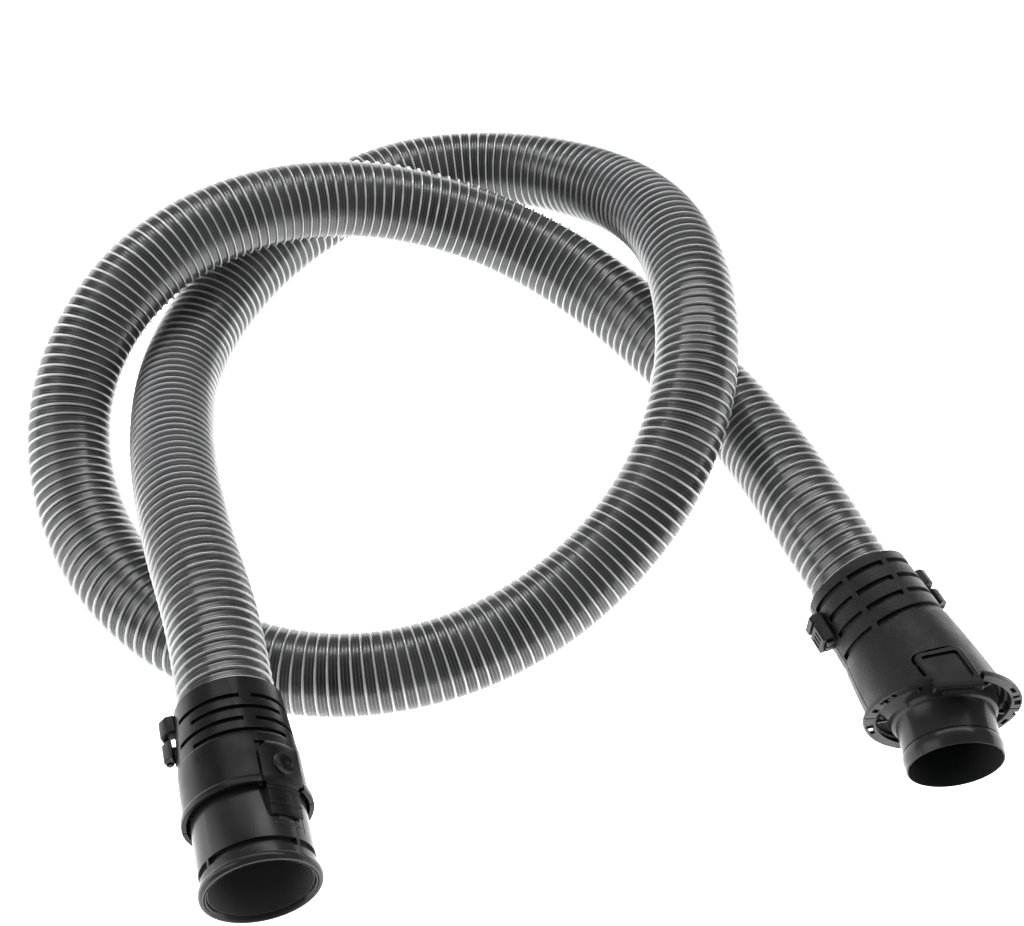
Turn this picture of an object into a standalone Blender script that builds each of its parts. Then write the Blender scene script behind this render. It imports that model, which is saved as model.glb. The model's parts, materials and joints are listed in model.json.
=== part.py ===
"""Suction hose of a household vacuum cleaner: a ribbed hose with a swivelling connector at each end.

Units are metres, +Z is up and the floor is z = 0. The hose lies in one loose overhand loop. Each connector
is modelled along its own axis: t runs from the cuff's rim away from the hose, and phi turns clockwise
from the top, seen from the connector's open end.
"""

import math

import bmesh
import bpy
import numpy as np
from mathutils import Matrix, Vector

# Hose
HOSE_DIAMETER = 0.0430        # over the ribs
RIB_HEIGHT = 0.0022
HOSE_WALL = 0.0018            # under the ribs
RIB_COUNT = 190
HOSE_INSERTION = 0.0185       # hose inside each cuff
HOSE_STRAIGHT = 0.0440        # straight run before each cuff
BORE_STEP = 0.0250            # spacing of the rings of the bore

# Clearances between pieces
FACE_GAP = 0.0003             # faces that touch
RUN_GAP = 0.0004              # round pieces that turn in one another
MOUTH_GAP = 0.0008            # cuff mouth round the ribs
WINDOW_GAP = 0.0007           # levers in their windows

# Swivel joint, the same in both connectors
LEDGE_THICKNESS = 0.0020
COLLAR_THICKNESS = 0.0030
COLLAR_HEIGHT = 0.0015
RING_THICKNESS = 0.0020
SEAL_LENGTH = 0.0034
SLEEVE_OVERLAP = 0.0060       # sleeve inside the socket or the spigot

# Cuff grooves
GROOVE_ROWS = 4
GROOVE_WIDTH = 0.0026
GROOVE_DEPTH = 0.0010

# Hinge knuckles and their pins
KNUCKLE_RADIUS = 0.0026
KNUCKLE_LENGTH = 0.0095
KNUCKLE_SPACE = 0.0025
WEB_THICKNESS = 0.0022
HINGE_PIN_RADIUS = 0.0012

# Handle connector
HANDLE_PLACE = (-0.1647, -0.0041, 0.0806)
HANDLE_HEADING = 14.6         # degrees from -Y towards +X
HANDLE_RISE = 5.0             # degrees
HANDLE_RIM_WALL = 0.0013
HANDLE_CUFF_WALL = 0.0035
HANDLE_RIM_BAND = 0.0092      # rim before the first groove
HANDLE_GROOVE_LAND = 0.0006   # cuff after the last groove
HANDLE_KNUCKLE_START = 0.0006
HANDLE_BODY_WALL = 0.0015
HANDLE_BODY_LENGTH = 0.0252
LIP_WALL = 0.0032
LIP_LENGTH = 0.0030
SOCKET_BORE = 0.0432
SOCKET_WALL = 0.0026
SOCKET_REACH = 0.0325         # socket beyond the lip
RETAINER_AT = 0.0018          # retaining rib behind the sleeve's seat
RETAINER_WIDTH = 0.0030
RETAINER_DEPTH = 0.0011
BAND_WIDTH = 0.0033           # dark band before the mouth ring
BAND_DEPTH = 0.0009
BAND_LAND = 0.0037
MOUTH_RING_LENGTH = 0.0040
MOUTH_RING_WALL = 0.00245
MOUTH_SEAT_DEPTH = 0.00135
MOUTH_FRONT = 0.0020

# Press button of the handle connector
BUTTON_ANGLE = 42.0           # degrees clockwise from the top
BUTTON_WIDTH = 0.0140
BUTTON_LENGTH = 0.0195
BUTTON_THICKNESS = 0.0029
BUTTON_SETBACK = 0.0008       # plate behind the lip's end
BUTTON_BASE = 0.0014          # plate above the socket
BUTTON_TRAVEL_ROOM = 0.0004
BUTTON_PIN_RADIUS = 0.0006
BUTTON_BOSS_LENGTH = 0.0042
BUTTON_POCKET_DEPTH = 0.0018
TONGUE_WIDTH = 0.0100
TONGUE_REACH = 0.0140
TONGUE_THICKNESS = 0.0021
HOOK_WIDTH = 0.0068
HOOK_LENGTH = 0.0030
HOOK_INTO_BORE = 0.0008
LEAF_THICKNESS = 0.0004
LEAF_WIDTH = 0.0060
LEAF_LENGTH = 0.0052

# Machine connector
MACHINE_PLACE_X = 0.1261
MACHINE_PLACE_Y = 0.0871
MACHINE_HEADING = 24.5
MACHINE_BEND = 20.0           # degrees between the cuff's axis and the spigot's axis
MACHINE_CUFF_WALL = 0.0039
MACHINE_CUFF_FLARE = 0.0010
MACHINE_CUFF_REACH = 0.0046   # cuff beyond its inner step
MACHINE_RIM_BAND = 0.0049
MACHINE_GROOVE_LAND = 0.0020
MACHINE_KNUCKLE_START = 0.0070
CONE_STEP = 0.0004
COVER_WALL = 0.0020
COVER_LENGTH = 0.0400
COVER_FLARE = 0.0046          # cover's growth towards the flange
FLANGE_DIAMETER = 0.0728
FLANGE_THICKNESS = 0.0025
SPIGOT_DIAMETER = 0.0446
SPIGOT_WALL = 0.0024
SPIGOT_REACH = 0.0265         # spigot beyond the flange
SPIGOT_INNER_WALL = 0.0025
SPIGOT_DISC_HEIGHT = 0.0035   # root disc over the root collar
SPIGOT_DISC_THICKNESS = 0.0025
ROOT_COLLAR_HEIGHT = 0.0025
ROOT_COLLAR_LENGTH = 0.0035
BEAD_HEIGHT = 0.0007
BEAD_LENGTH = 0.0030
BEAD_SETBACK = 0.0040
MOUTH_CHAMFER = 0.0008

# Latch of the machine connector
LATCH_WIDTH = 0.0230
LATCH_LENGTH = 0.0230
LATCH_PROUD = 0.0006
LATCH_THICKNESS = 0.0030
LATCH_NOSE = 0.0060
LATCH_HOOK = 0.0018
LATCH_PIN_RADIUS = 0.0010
LATCH_PIN_SETBACK = 0.0130    # pin behind the flange's face
LATCH_PIN_DEPTH = 0.0051      # pin under the cone's surface
CHEEK_WIDTH = 0.0020
CHEEK_LENGTH = 0.0070
CHEEK_COVER = 0.0003          # cheek over the pin's hole
SPRING_RADIUS = 0.0024
SPRING_WIRE = 0.0003
SPRING_TURNS = 3
SPRING_SETBACK = 0.0195

# Closing clip of the machine cuff
CLIP_BLOCK_DEPTH = 0.0045
CLIP_BLOCK_HEIGHT = 0.0040
CLIP_LENGTH = 0.0170
CLIP_START = 0.0075
CLIP_THICKNESS = 0.0016

SEGMENTS = 24                 # round pieces, a multiple of four
BEVEL_RESOLUTION = 2          # rings of points on a quarter of the hose
HOSE_SIDES = 4 + 2 * BEVEL_RESOLUTION
SHARP_ANGLE = 35.0            # degrees, edges shaded as sharp
WELD = 1e-6                   # points nearer than this are one point

# Middle of the hose from the handle connector to the machine connector, between its straight ends:
# x and y in metres, and the height in hose diameters
ROUTE = [
    (-0.1922, 0.0870, 1.570), (-0.2062, 0.1340, 1.233), (-0.2162, 0.1830, 0.872),
    (-0.2172, 0.2340, 0.605), (-0.2027, 0.2830, 0.507), (-0.1752, 0.3260, 0.500),
    (-0.1372, 0.3610, 0.500), (-0.0932, 0.3825, 0.500), (-0.0442, 0.3840, 0.547),
    (0.0003, 0.3630, 0.767), (0.0318, 0.3250, 1.163), (0.0483, 0.2780, 1.514),
    (0.0538, 0.2280, 1.622), (0.0483, 0.1780, 1.474), (0.0288, 0.1320, 1.116),
    (-0.0042, 0.0955, 0.733), (-0.0452, 0.0670, 0.542), (-0.0932, 0.0490, 0.500),
    (-0.1432, 0.0470, 0.500), (-0.1917, 0.0630, 0.500), (-0.2322, 0.0950, 0.507),
    (-0.2597, 0.1390, 0.605), (-0.2697, 0.1880, 0.895), (-0.2577, 0.2355, 1.267),
    (-0.2267, 0.2750, 1.563), (-0.1842, 0.3035, 1.616), (-0.1362, 0.3210, 1.442),
    (-0.0872, 0.3260, 1.105), (-0.0392, 0.3165, 0.756), (0.0033, 0.2910, 0.551),
    (0.0393, 0.2530, 0.500), (0.0698, 0.2110, 0.530), (0.0928, 0.1660, 0.686),
]

# Radii that both connectors share
CREST_RADIUS = HOSE_DIAMETER / 2
VALLEY_RADIUS = CREST_RADIUS - RIB_HEIGHT
BORE_RADIUS = VALLEY_RADIUS - HOSE_WALL
SHELL_BORE = CREST_RADIUS + MOUTH_GAP
COLLAR_RADIUS = SHELL_BORE - RUN_GAP
SLEEVE_RADIUS = COLLAR_RADIUS - COLLAR_HEIGHT
SLEEVE_SEAT = SLEEVE_RADIUS + RUN_GAP

# Places along t that both connectors share
SLEEVE_START = HOSE_INSERTION + FACE_GAP
LEDGE_A_END = SLEEVE_START + LEDGE_THICKNESS
COLLAR_START = LEDGE_A_END + FACE_GAP
COLLAR_END = COLLAR_START + COLLAR_THICKNESS
RING_START = COLLAR_END + FACE_GAP
RING_END = RING_START + RING_THICKNESS
LEDGE_B_START = RING_END + FACE_GAP
LEDGE_B_END = LEDGE_B_START + LEDGE_THICKNESS
SEAL_START = LEDGE_B_END + FACE_GAP
SHELL_STEP = SEAL_START + SEAL_LENGTH
TUBE_START = SHELL_STEP + FACE_GAP
SLEEVE_END = TUBE_START + SLEEVE_OVERLAP
SEAT_END = SLEEVE_END + FACE_GAP
KNUCKLE_PITCH = KNUCKLE_LENGTH + KNUCKLE_SPACE
HINGE_LENGTH = KNUCKLE_PITCH + KNUCKLE_LENGTH

# Handle connector, worked out
HANDLE_CUFF_END = SHELL_STEP - HANDLE_BODY_WALL
HANDLE_RIM_RADIUS = SHELL_BORE + HANDLE_RIM_WALL
HANDLE_CUFF_RADIUS = SHELL_BORE + HANDLE_CUFF_WALL
SOCKET_RADIUS = max(SLEEVE_SEAT, SOCKET_BORE / 2) + SOCKET_WALL
HANDLE_BORE = SOCKET_RADIUS + RUN_GAP
BODY_RADIUS = HANDLE_BORE + HANDLE_BODY_WALL
LIP_RADIUS = HANDLE_BORE + LIP_WALL
LIP_END = HANDLE_CUFF_END + HANDLE_BODY_LENGTH
HANDLE_END = LIP_END + SOCKET_REACH + MOUTH_FRONT
RETAINER_START = SEAT_END + RETAINER_AT
RETAINER_END = RETAINER_START + RETAINER_WIDTH
RETAINER_RADIUS = SOCKET_RADIUS - RETAINER_DEPTH
POCKET_FLOOR = SOCKET_RADIUS - BUTTON_POCKET_DEPTH
BUTTON_UNDER = SOCKET_RADIUS + BUTTON_BASE
BUTTON_TOP = BUTTON_UNDER + BUTTON_THICKNESS
BUTTON_END = LIP_END - BUTTON_SETBACK
BUTTON_START = BUTTON_END - BUTTON_LENGTH
BUTTON_PIN_T = (BUTTON_START + BUTTON_END) / 2
BUTTON_PIN_Y = POCKET_FLOOR + FACE_GAP + BUTTON_TRAVEL_ROOM + 2 * BUTTON_PIN_RADIUS
BUTTON_HOLE = BUTTON_PIN_RADIUS + FACE_GAP
TONGUE_END = LIP_END + TONGUE_REACH

# Machine connector, worked out
MACHINE_RIM_RADIUS = SHELL_BORE + MACHINE_CUFF_WALL
MACHINE_CUFF_RADIUS = MACHINE_RIM_RADIUS + MACHINE_CUFF_FLARE
FLANGE_RADIUS = FLANGE_DIAMETER / 2
MACHINE_CUFF_END = SHELL_STEP + MACHINE_CUFF_REACH
FLANGE_FACE = MACHINE_CUFF_END + COVER_LENGTH
FLANGE_BACK = FLANGE_FACE - FLANGE_THICKNESS
BEND_LENGTH = FLANGE_FACE - SEAT_END
CONE_START_RADIUS = MACHINE_CUFF_RADIUS + CONE_STEP
SPIGOT_RADIUS = SPIGOT_DIAMETER / 2
SPIGOT_BORE = SPIGOT_RADIUS - SPIGOT_WALL
SPIGOT_INNER_RADIUS = SLEEVE_SEAT + SPIGOT_INNER_WALL
SPIGOT_END = FLANGE_FACE + SPIGOT_REACH
ROOT_COLLAR_RADIUS = SPIGOT_RADIUS + ROOT_COLLAR_HEIGHT
SPIGOT_DISC_RADIUS = ROOT_COLLAR_RADIUS + SPIGOT_DISC_HEIGHT
DISC_END = FLANGE_BACK - FACE_GAP
DISC_START = DISC_END - SPIGOT_DISC_THICKNESS
LEDGE_C_END = DISC_START - FACE_GAP
LEDGE_C_START = LEDGE_C_END - LEDGE_THICKNESS
LATCH_START = FLANGE_FACE - LATCH_LENGTH
LATCH_PIN_T = FLANGE_FACE - LATCH_PIN_SETBACK
LATCH_HOLE = LATCH_PIN_RADIUS + FACE_GAP


def cone_surface(t):
    """Outer radius of the machine cover at t."""
    share = (t - MACHINE_CUFF_END) / (FLANGE_BACK - MACHINE_CUFF_END)
    return CONE_START_RADIUS + share * COVER_FLARE


LATCH_PIN_Y = cone_surface(LATCH_PIN_T) - LATCH_PIN_DEPTH
MACHINE_PLACE = (MACHINE_PLACE_X, MACHINE_PLACE_Y, FLANGE_RADIUS)


def clear_scene():
    """Remove what the file starts with."""
    for obj in list(bpy.data.objects):
        bpy.data.objects.remove(obj, do_unlink=True)


def plastic(name, colour, roughness, metallic=0.0):
    """One plain Principled material."""
    material = bpy.data.materials.new(name)
    material.use_nodes = True
    shader = material.node_tree.nodes["Principled BSDF"]
    shader.inputs["Base Color"].default_value = (*colour, 1.0)
    shader.inputs["Roughness"].default_value = roughness
    shader.inputs["Metallic"].default_value = metallic
    return material


def frame(name, place, heading=0.0, rise=0.0, parent=None):
    """An empty whose local Z is a connector's axis and whose local Y points up."""
    empty = bpy.data.objects.new(name, None)
    bpy.context.collection.objects.link(empty)
    empty.location = place
    empty.rotation_euler = (math.radians(90.0 - rise), 0.0, math.radians(heading))
    empty.parent = parent
    return empty


def finish(name, mesh_data, material, parent):
    """Close a bmesh into a named object under its frame."""
    bmesh.ops.remove_doubles(mesh_data, verts=mesh_data.verts, dist=WELD)
    bmesh.ops.recalc_face_normals(mesh_data, faces=mesh_data.faces)
    mesh = bpy.data.meshes.new(name)
    mesh_data.to_mesh(mesh)
    mesh_data.free()
    mesh.shade_smooth()
    mesh.set_sharp_from_angle(angle=math.radians(SHARP_ANGLE))
    obj = bpy.data.objects.new(name, mesh)
    bpy.context.collection.objects.link(obj)
    obj.parent = parent
    if material is not None:
        mesh.materials.append(material)
    return obj


def tool(name, mesh_data, parent):
    """A hidden shape that only cuts or joins."""
    obj = finish(name, mesh_data, None, parent)
    obj.hide_render = True
    obj.display_type = "WIRE"
    return obj


def combine(obj, other, operation):
    """Put one Boolean on an object."""
    modifier = obj.modifiers.new(other.name, "BOOLEAN")
    modifier.operation = operation
    modifier.object = other


def turned(profile, start=0.0, sweep=360.0, bend=False, segments=SEGMENTS):
    """Turn a closed outline of (radius, t) about the axis, all round or by part of a turn."""
    shape = bmesh.new()
    verts = [shape.verts.new((0.0, radius, t)) for radius, t in profile]
    edges = [shape.edges.new((verts[i - 1], verts[i])) for i in range(len(verts))]
    whole = sweep >= 360.0
    geometry = verts + edges
    if not whole:
        geometry = geometry + [shape.faces.new(verts)]
    turn = Matrix.Rotation(-math.radians(start), 3, "Z")
    bmesh.ops.rotate(shape, verts=verts, cent=(0, 0, 0), matrix=turn)
    bmesh.ops.spin(
        shape, geom=geometry, cent=(0, 0, 0), axis=(0, 0, -1), angle=math.radians(min(sweep, 360.0)),
        steps=round(segments * sweep / 360.0), use_merge=whole, use_duplicate=False)
    return bent(shape) if bend else shape


def block(low, high):
    """A box between two corners."""
    shape = bmesh.new()
    low, high = Vector(low), Vector(high)
    bmesh.ops.create_cube(shape, size=1.0)
    for vert in shape.verts:
        for axis in range(3):
            vert.co[axis] = low[axis] if vert.co[axis] < 0 else high[axis]
    return shape


def rod(radius, start, end, sides=12):
    """A round bar between two points."""
    start, end = Vector(start), Vector(end)
    shape = bmesh.new()
    turn = (end - start).to_track_quat("Z", "Y").to_matrix().to_4x4()
    bmesh.ops.create_cone(
        shape, cap_ends=True, segments=sides, radius1=radius, radius2=radius, depth=(end - start).length,
        matrix=Matrix.Translation((start + end) / 2) @ turn)
    return shape


def prism(outline, axis, low, high):
    """Extrude a closed outline of two coordinates along the third axis, numbered 0 to 2."""
    shape = bmesh.new()
    verts = []
    for first, second in outline:
        point = [first, second]
        point.insert(axis, low)
        verts.append(shape.verts.new(point))
    face = shape.faces.new(verts)
    grown = bmesh.ops.extrude_face_region(shape, geom=[face])["geom"]
    shift = [0.0, 0.0, 0.0]
    shift[axis] = high - low
    moved = [item for item in grown if isinstance(item, bmesh.types.BMVert)]
    bmesh.ops.translate(shape, verts=moved, vec=shift)
    return shape


def bend_angle(t):
    """How far the machine connector has turned at t, in radians."""
    share = (t - SEAT_END) / BEND_LENGTH
    return math.radians(MACHINE_BEND) * min(max(share, 0.0), 1.0)


def machine_bend(point):
    """Carry a point of the straight machine connector to the bent one."""
    x, y, t = point
    angle = bend_angle(t)
    beyond = max(t - FLANGE_FACE, 0.0)
    side = Vector((math.cos(angle), 0.0, math.sin(angle)))
    along = Vector((-math.sin(angle), 0.0, math.cos(angle)))
    return Vector((0.0, y, t - beyond)) + side * x + along * beyond


def bent(shape):
    """A bmesh carried to the bent machine connector, in triangles so that no face is left twisted."""
    bmesh.ops.triangulate(shape, faces=shape.faces)
    for vert in shape.verts:
        vert.co = machine_bend(vert.co)
    return shape


def grooves(start_radius, end_radius, length, band, land):
    """Outer outline of a cuff from its rim to its end, with its rows of grooves between band and land."""
    pitch = (length - land - GROOVE_WIDTH - band) / (GROOVE_ROWS - 1)

    def radius(t):
        return start_radius + (end_radius - start_radius) * t / length

    outline = [(radius(0.0), 0.0)]
    for row in range(GROOVE_ROWS):
        begin = band + row * pitch
        end = begin + GROOVE_WIDTH
        outline += [(radius(begin), begin), (radius(begin) - GROOVE_DEPTH, begin),
                    (radius(end) - GROOVE_DEPTH, end), (radius(end), end)]
    outline.append((radius(length), length))
    return outline


def swivel_bore(step_radius):
    """Inner outline of a cuff, from the step at its inner end back to its rim, with the two ledges."""
    return [
        (step_radius, SHELL_STEP), (SHELL_BORE, SHELL_STEP),
        (SHELL_BORE, LEDGE_B_END), (SLEEVE_SEAT, LEDGE_B_END),
        (SLEEVE_SEAT, LEDGE_B_START), (SHELL_BORE, LEDGE_B_START),
        (SHELL_BORE, LEDGE_A_END), (SLEEVE_SEAT, LEDGE_A_END),
        (SLEEVE_SEAT, SLEEVE_START), (SHELL_BORE, SLEEVE_START), (SHELL_BORE, 0.0)]


def half_turn(radius):
    """Start and sweep of a half shell, which stops half a face gap short of the parting plane."""
    margin = math.degrees(FACE_GAP / 2 / radius)
    return -90.0 + margin, 180.0 - 2 * margin


def half_shells(prefix, outline, material, parent, bend=False):
    """The upper and the lower half of a connector's casing."""
    start, sweep = half_turn(SHELL_BORE)
    upper = finish(prefix + "_upper_shell", turned(outline, start, sweep, bend), material, parent)
    lower = finish(prefix + "_lower_shell", turned(outline, start + 180.0, sweep, bend), material, parent)
    return upper, lower


def add_hinge(prefix, side, wall_radius, start, shells, material, parent):
    """Knuckles on one side of a cuff, the first on the upper shell, and the pin through both."""
    centre = wall_radius + FACE_GAP + KNUCKLE_RADIUS
    root = SHELL_BORE + (wall_radius - SHELL_BORE) / 3
    hole = HINGE_PIN_RADIUS + FACE_GAP
    inner, outer = sorted((side * root, side * (centre - (hole + KNUCKLE_RADIUS) / 2)))
    for index, shell in enumerate(shells):
        begin = start + index * KNUCKLE_PITCH
        end = begin + KNUCKLE_LENGTH
        label = prefix + "_knuckle_" + str(index)
        wall = [(hole, begin), (KNUCKLE_RADIUS, begin), (KNUCKLE_RADIUS, end), (hole, end)]
        knuckle = moved(turned(wall, segments=8), Matrix.Translation((side * centre, 0.0, 0.0)))
        sign = 1 if index == 0 else -1
        low, high = sorted((sign * FACE_GAP, sign * (FACE_GAP + WEB_THICKNESS)))
        web = block((inner, low, begin + FACE_GAP), (outer, high, end - FACE_GAP))
        combine(shell, tool(label + "_web", web, parent), "UNION")
        combine(shell, tool(label, knuckle, parent), "UNION")
    pin_start = start - FACE_GAP
    pin_end = start + HINGE_LENGTH + FACE_GAP
    pin = rod(HINGE_PIN_RADIUS, (side * centre, 0, pin_start), (side * centre, 0, pin_end))
    finish(prefix + "_hinge_pin", pin, material, parent)


def swivel_parts(prefix, parent, plastic_part, ring_part, rubber_part):
    """The sleeve on the hose's end, and the thrust ring and the seal round it."""
    sleeve = [
        (SLEEVE_RADIUS, SLEEVE_START), (SLEEVE_RADIUS, COLLAR_START), (COLLAR_RADIUS, COLLAR_START),
        (COLLAR_RADIUS, COLLAR_END), (SLEEVE_RADIUS, COLLAR_END), (SLEEVE_RADIUS, SLEEVE_END),
        (BORE_RADIUS, SLEEVE_END), (BORE_RADIUS, SLEEVE_START)]
    finish(prefix + "_hose_sleeve", turned(sleeve), plastic_part, parent)
    inner, outer = SLEEVE_SEAT, COLLAR_RADIUS
    ring = [(outer, RING_START), (outer, RING_END), (inner, RING_END), (inner, RING_START)]
    finish(prefix + "_thrust_ring", turned(ring), ring_part, parent)
    begin, end = SEAL_START, SHELL_STEP - FACE_GAP
    lip = (end - begin) / 3
    seal = [(outer, begin), (outer, end), (inner + lip / 2, end), (inner, end - lip), (inner, begin)]
    finish(prefix + "_seal", turned(seal), rubber_part, parent)


def handle_connector(parent, finishes):
    """Casing, socket and mouth ring of the handle connector."""
    outline = grooves(
        HANDLE_RIM_RADIUS, HANDLE_CUFF_RADIUS, HANDLE_CUFF_END, HANDLE_RIM_BAND, HANDLE_GROOVE_LAND)
    outline += [(BODY_RADIUS, HANDLE_CUFF_END), (LIP_RADIUS, LIP_END - LIP_LENGTH), (LIP_RADIUS, LIP_END)]
    rib = RETAINER_RADIUS + RUN_GAP
    outline += [
        (HANDLE_BORE, LIP_END), (HANDLE_BORE, RETAINER_END - FACE_GAP), (rib, RETAINER_END - FACE_GAP),
        (rib, RETAINER_START + FACE_GAP), (HANDLE_BORE, RETAINER_START + FACE_GAP)]
    outline += swivel_bore(HANDLE_BORE)
    shells = half_shells("handle", outline, finishes["satin"], parent)
    share = (HANDLE_KNUCKLE_START + HINGE_LENGTH) / HANDLE_CUFF_END
    wall = HANDLE_RIM_RADIUS + share * (HANDLE_CUFF_RADIUS - HANDLE_RIM_RADIUS)
    add_hinge("handle", -1, wall, HANDLE_KNUCKLE_START, shells, finishes["satin"], parent)

    bore = SOCKET_BORE / 2
    ring_start = HANDLE_END - MOUTH_RING_LENGTH
    band_end = ring_start - BAND_LAND
    band_start = band_end - BAND_WIDTH
    seat = SOCKET_RADIUS - MOUTH_SEAT_DEPTH
    tube_end = HANDLE_END - MOUTH_FRONT
    socket = [
        (SLEEVE_SEAT, TUBE_START), (SOCKET_RADIUS, TUBE_START), (SOCKET_RADIUS, RETAINER_START),
        (RETAINER_RADIUS, RETAINER_START), (RETAINER_RADIUS, RETAINER_END), (SOCKET_RADIUS, RETAINER_END),
        (SOCKET_RADIUS, band_start), (SOCKET_RADIUS - BAND_DEPTH, band_start),
        (SOCKET_RADIUS - BAND_DEPTH, band_end), (SOCKET_RADIUS, band_end), (SOCKET_RADIUS, ring_start),
        (seat, ring_start), (seat, tube_end), (bore, tube_end), (bore, SEAT_END), (SLEEVE_SEAT, SEAT_END)]
    tube = finish("handle_socket", turned(socket), finishes["gloss"], parent)

    inner = seat + FACE_GAP
    outer = inner + MOUTH_RING_WALL
    front = bore + FACE_GAP
    ring = [
        (inner, ring_start + FACE_GAP), (outer, ring_start + FACE_GAP), (outer, tube_end),
        (outer - MOUTH_FRONT / 2, HANDLE_END), (front + MOUTH_FRONT / 4, HANDLE_END),
        (front, tube_end + FACE_GAP), (inner, tube_end + FACE_GAP)]
    finish("handle_mouth_ring", turned(ring), finishes["gloss"], parent)
    return shells[0], tube


def handle_button(shell, tube, connector, finishes):
    """Press button with its catch, its pin and its leaf spring, and the openings they need."""
    turn = math.radians(BUTTON_ANGLE)
    spoke = frame("button_spoke", (0, 0, 0), parent=connector)
    spoke.rotation_euler = (0.0, 0.0, -turn)
    pivot = frame("button_pivot", (0.0, BUTTON_PIN_Y, BUTTON_PIN_T), parent=spoke)
    pivot.rotation_euler = (0.0, 0.0, 0.0)
    to_pivot = Matrix.Translation((0.0, -BUTTON_PIN_Y, -BUTTON_PIN_T))

    half = BUTTON_WIDTH / 2
    open_half = half + WINDOW_GAP
    window = block((-open_half, POCKET_FLOOR, BUTTON_START - WINDOW_GAP),
                   (open_half, LIP_RADIUS + BUTTON_TOP, LIP_END + LIP_LENGTH))
    combine(shell, tool("button_window", window, spoke), "DIFFERENCE")
    pin_half = open_half + 2 * BUTTON_HOLE
    hole = rod(BUTTON_HOLE, (-pin_half, BUTTON_PIN_Y, BUTTON_PIN_T), (pin_half, BUTTON_PIN_Y, BUTTON_PIN_T))
    combine(shell, tool("button_pin_hole", hole, spoke), "DIFFERENCE")
    pocket_half = open_half + WINDOW_GAP
    pocket = block((-pocket_half, POCKET_FLOOR, BUTTON_START - WINDOW_GAP),
                   (pocket_half, SOCKET_RADIUS + BUTTON_TOP, LIP_END))
    combine(tube, tool("button_pocket", pocket, spoke), "DIFFERENCE")
    hook_half = HOOK_WIDTH / 2
    slot_half = hook_half + WINDOW_GAP
    hook_start = TONGUE_END - HOOK_LENGTH
    bore = SOCKET_BORE / 2
    slot = block((-slot_half, bore - SOCKET_WALL, hook_start - 2 * WINDOW_GAP),
                 (slot_half, SOCKET_RADIUS + BUTTON_TOP, TONGUE_END + 2 * WINDOW_GAP))
    combine(tube, tool("catch_slot", slot, spoke), "DIFFERENCE")

    tongue_under = SOCKET_RADIUS + WINDOW_GAP
    tongue_top = tongue_under + TONGUE_THICKNESS
    plate_side = [
        (BUTTON_UNDER, BUTTON_START), (BUTTON_TOP - BUTTON_THICKNESS / 3, BUTTON_START),
        (BUTTON_TOP, BUTTON_START + BUTTON_THICKNESS / 3), (BUTTON_TOP, BUTTON_END - BUTTON_THICKNESS / 3),
        (BUTTON_TOP - BUTTON_THICKNESS / 3, BUTTON_END), (tongue_under, BUTTON_END),
        (tongue_under, BUTTON_END - BUTTON_THICKNESS), (BUTTON_UNDER, BUTTON_END - 2 * BUTTON_THICKNESS)]
    plate = moved(prism(plate_side, 0, -half, half), to_pivot)
    button = finish("handle_button", plate, finishes["satin"], pivot)
    tongue_side = [
        (tongue_under, BUTTON_END - BUTTON_THICKNESS / 2), (tongue_top, BUTTON_END - BUTTON_THICKNESS / 2),
        (tongue_top, TONGUE_END - TONGUE_THICKNESS / 2), (tongue_top - TONGUE_THICKNESS / 2, TONGUE_END),
        (tongue_under, TONGUE_END)]
    tongue_half = TONGUE_WIDTH / 2
    tongue = moved(prism(tongue_side, 0, -tongue_half, tongue_half), to_pivot)
    combine(button, tool("button_tongue", tongue, pivot), "UNION")
    hook_tip = bore - HOOK_INTO_BORE
    hook_side = [(hook_tip, hook_start), (tongue_top - TONGUE_THICKNESS / 2, hook_start),
                 (tongue_top - TONGUE_THICKNESS / 2, TONGUE_END - FACE_GAP), (bore, TONGUE_END - FACE_GAP)]
    hook = moved(prism(hook_side, 0, -hook_half, hook_half), to_pivot)
    combine(button, tool("button_hook", hook, pivot), "UNION")
    boss_half = BUTTON_BOSS_LENGTH / 2
    boss_low = POCKET_FLOOR + BUTTON_TRAVEL_ROOM
    boss = block((-half + WINDOW_GAP, boss_low, BUTTON_PIN_T - boss_half),
                 (half - WINDOW_GAP, BUTTON_UNDER + BUTTON_THICKNESS / 3, BUTTON_PIN_T + boss_half))
    combine(button, tool("button_boss", moved(boss, to_pivot), pivot), "UNION")
    bore_tool = tool("button_bore", rod(BUTTON_HOLE, (-pin_half, 0, 0), (pin_half, 0, 0)), pivot)
    combine(button, bore_tool, "DIFFERENCE")

    pin_half -= FACE_GAP
    left, right = (-pin_half, BUTTON_PIN_Y, BUTTON_PIN_T), (pin_half, BUTTON_PIN_Y, BUTTON_PIN_T)
    finish("handle_button_pin", rod(BUTTON_PIN_RADIUS, left, right), finishes["steel"], spoke)

    leaf = leaf_spring(BUTTON_START + WINDOW_GAP, POCKET_FLOOR + FACE_GAP, BUTTON_UNDER - FACE_GAP)
    finish("handle_button_spring", leaf, finishes["steel"], spoke)


def leaf_spring(start, low, high):
    """An arched strip from t = start that spans from low to high."""
    steps = 8
    rise = high - low - LEAF_THICKNESS
    lower, upper = [], []
    for step in range(steps + 1):
        t = start + LEAF_LENGTH * step / steps
        y = low + rise * math.sin(math.pi * step / steps)
        lower.append((y, t))
        upper.append((y + LEAF_THICKNESS, t))
    return prism(lower + upper[::-1], 0, -LEAF_WIDTH / 2, LEAF_WIDTH / 2)


def moved(shape, matrix):
    """A bmesh carried by a matrix."""
    bmesh.ops.transform(shape, matrix=matrix, verts=shape.verts)
    return shape


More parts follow.
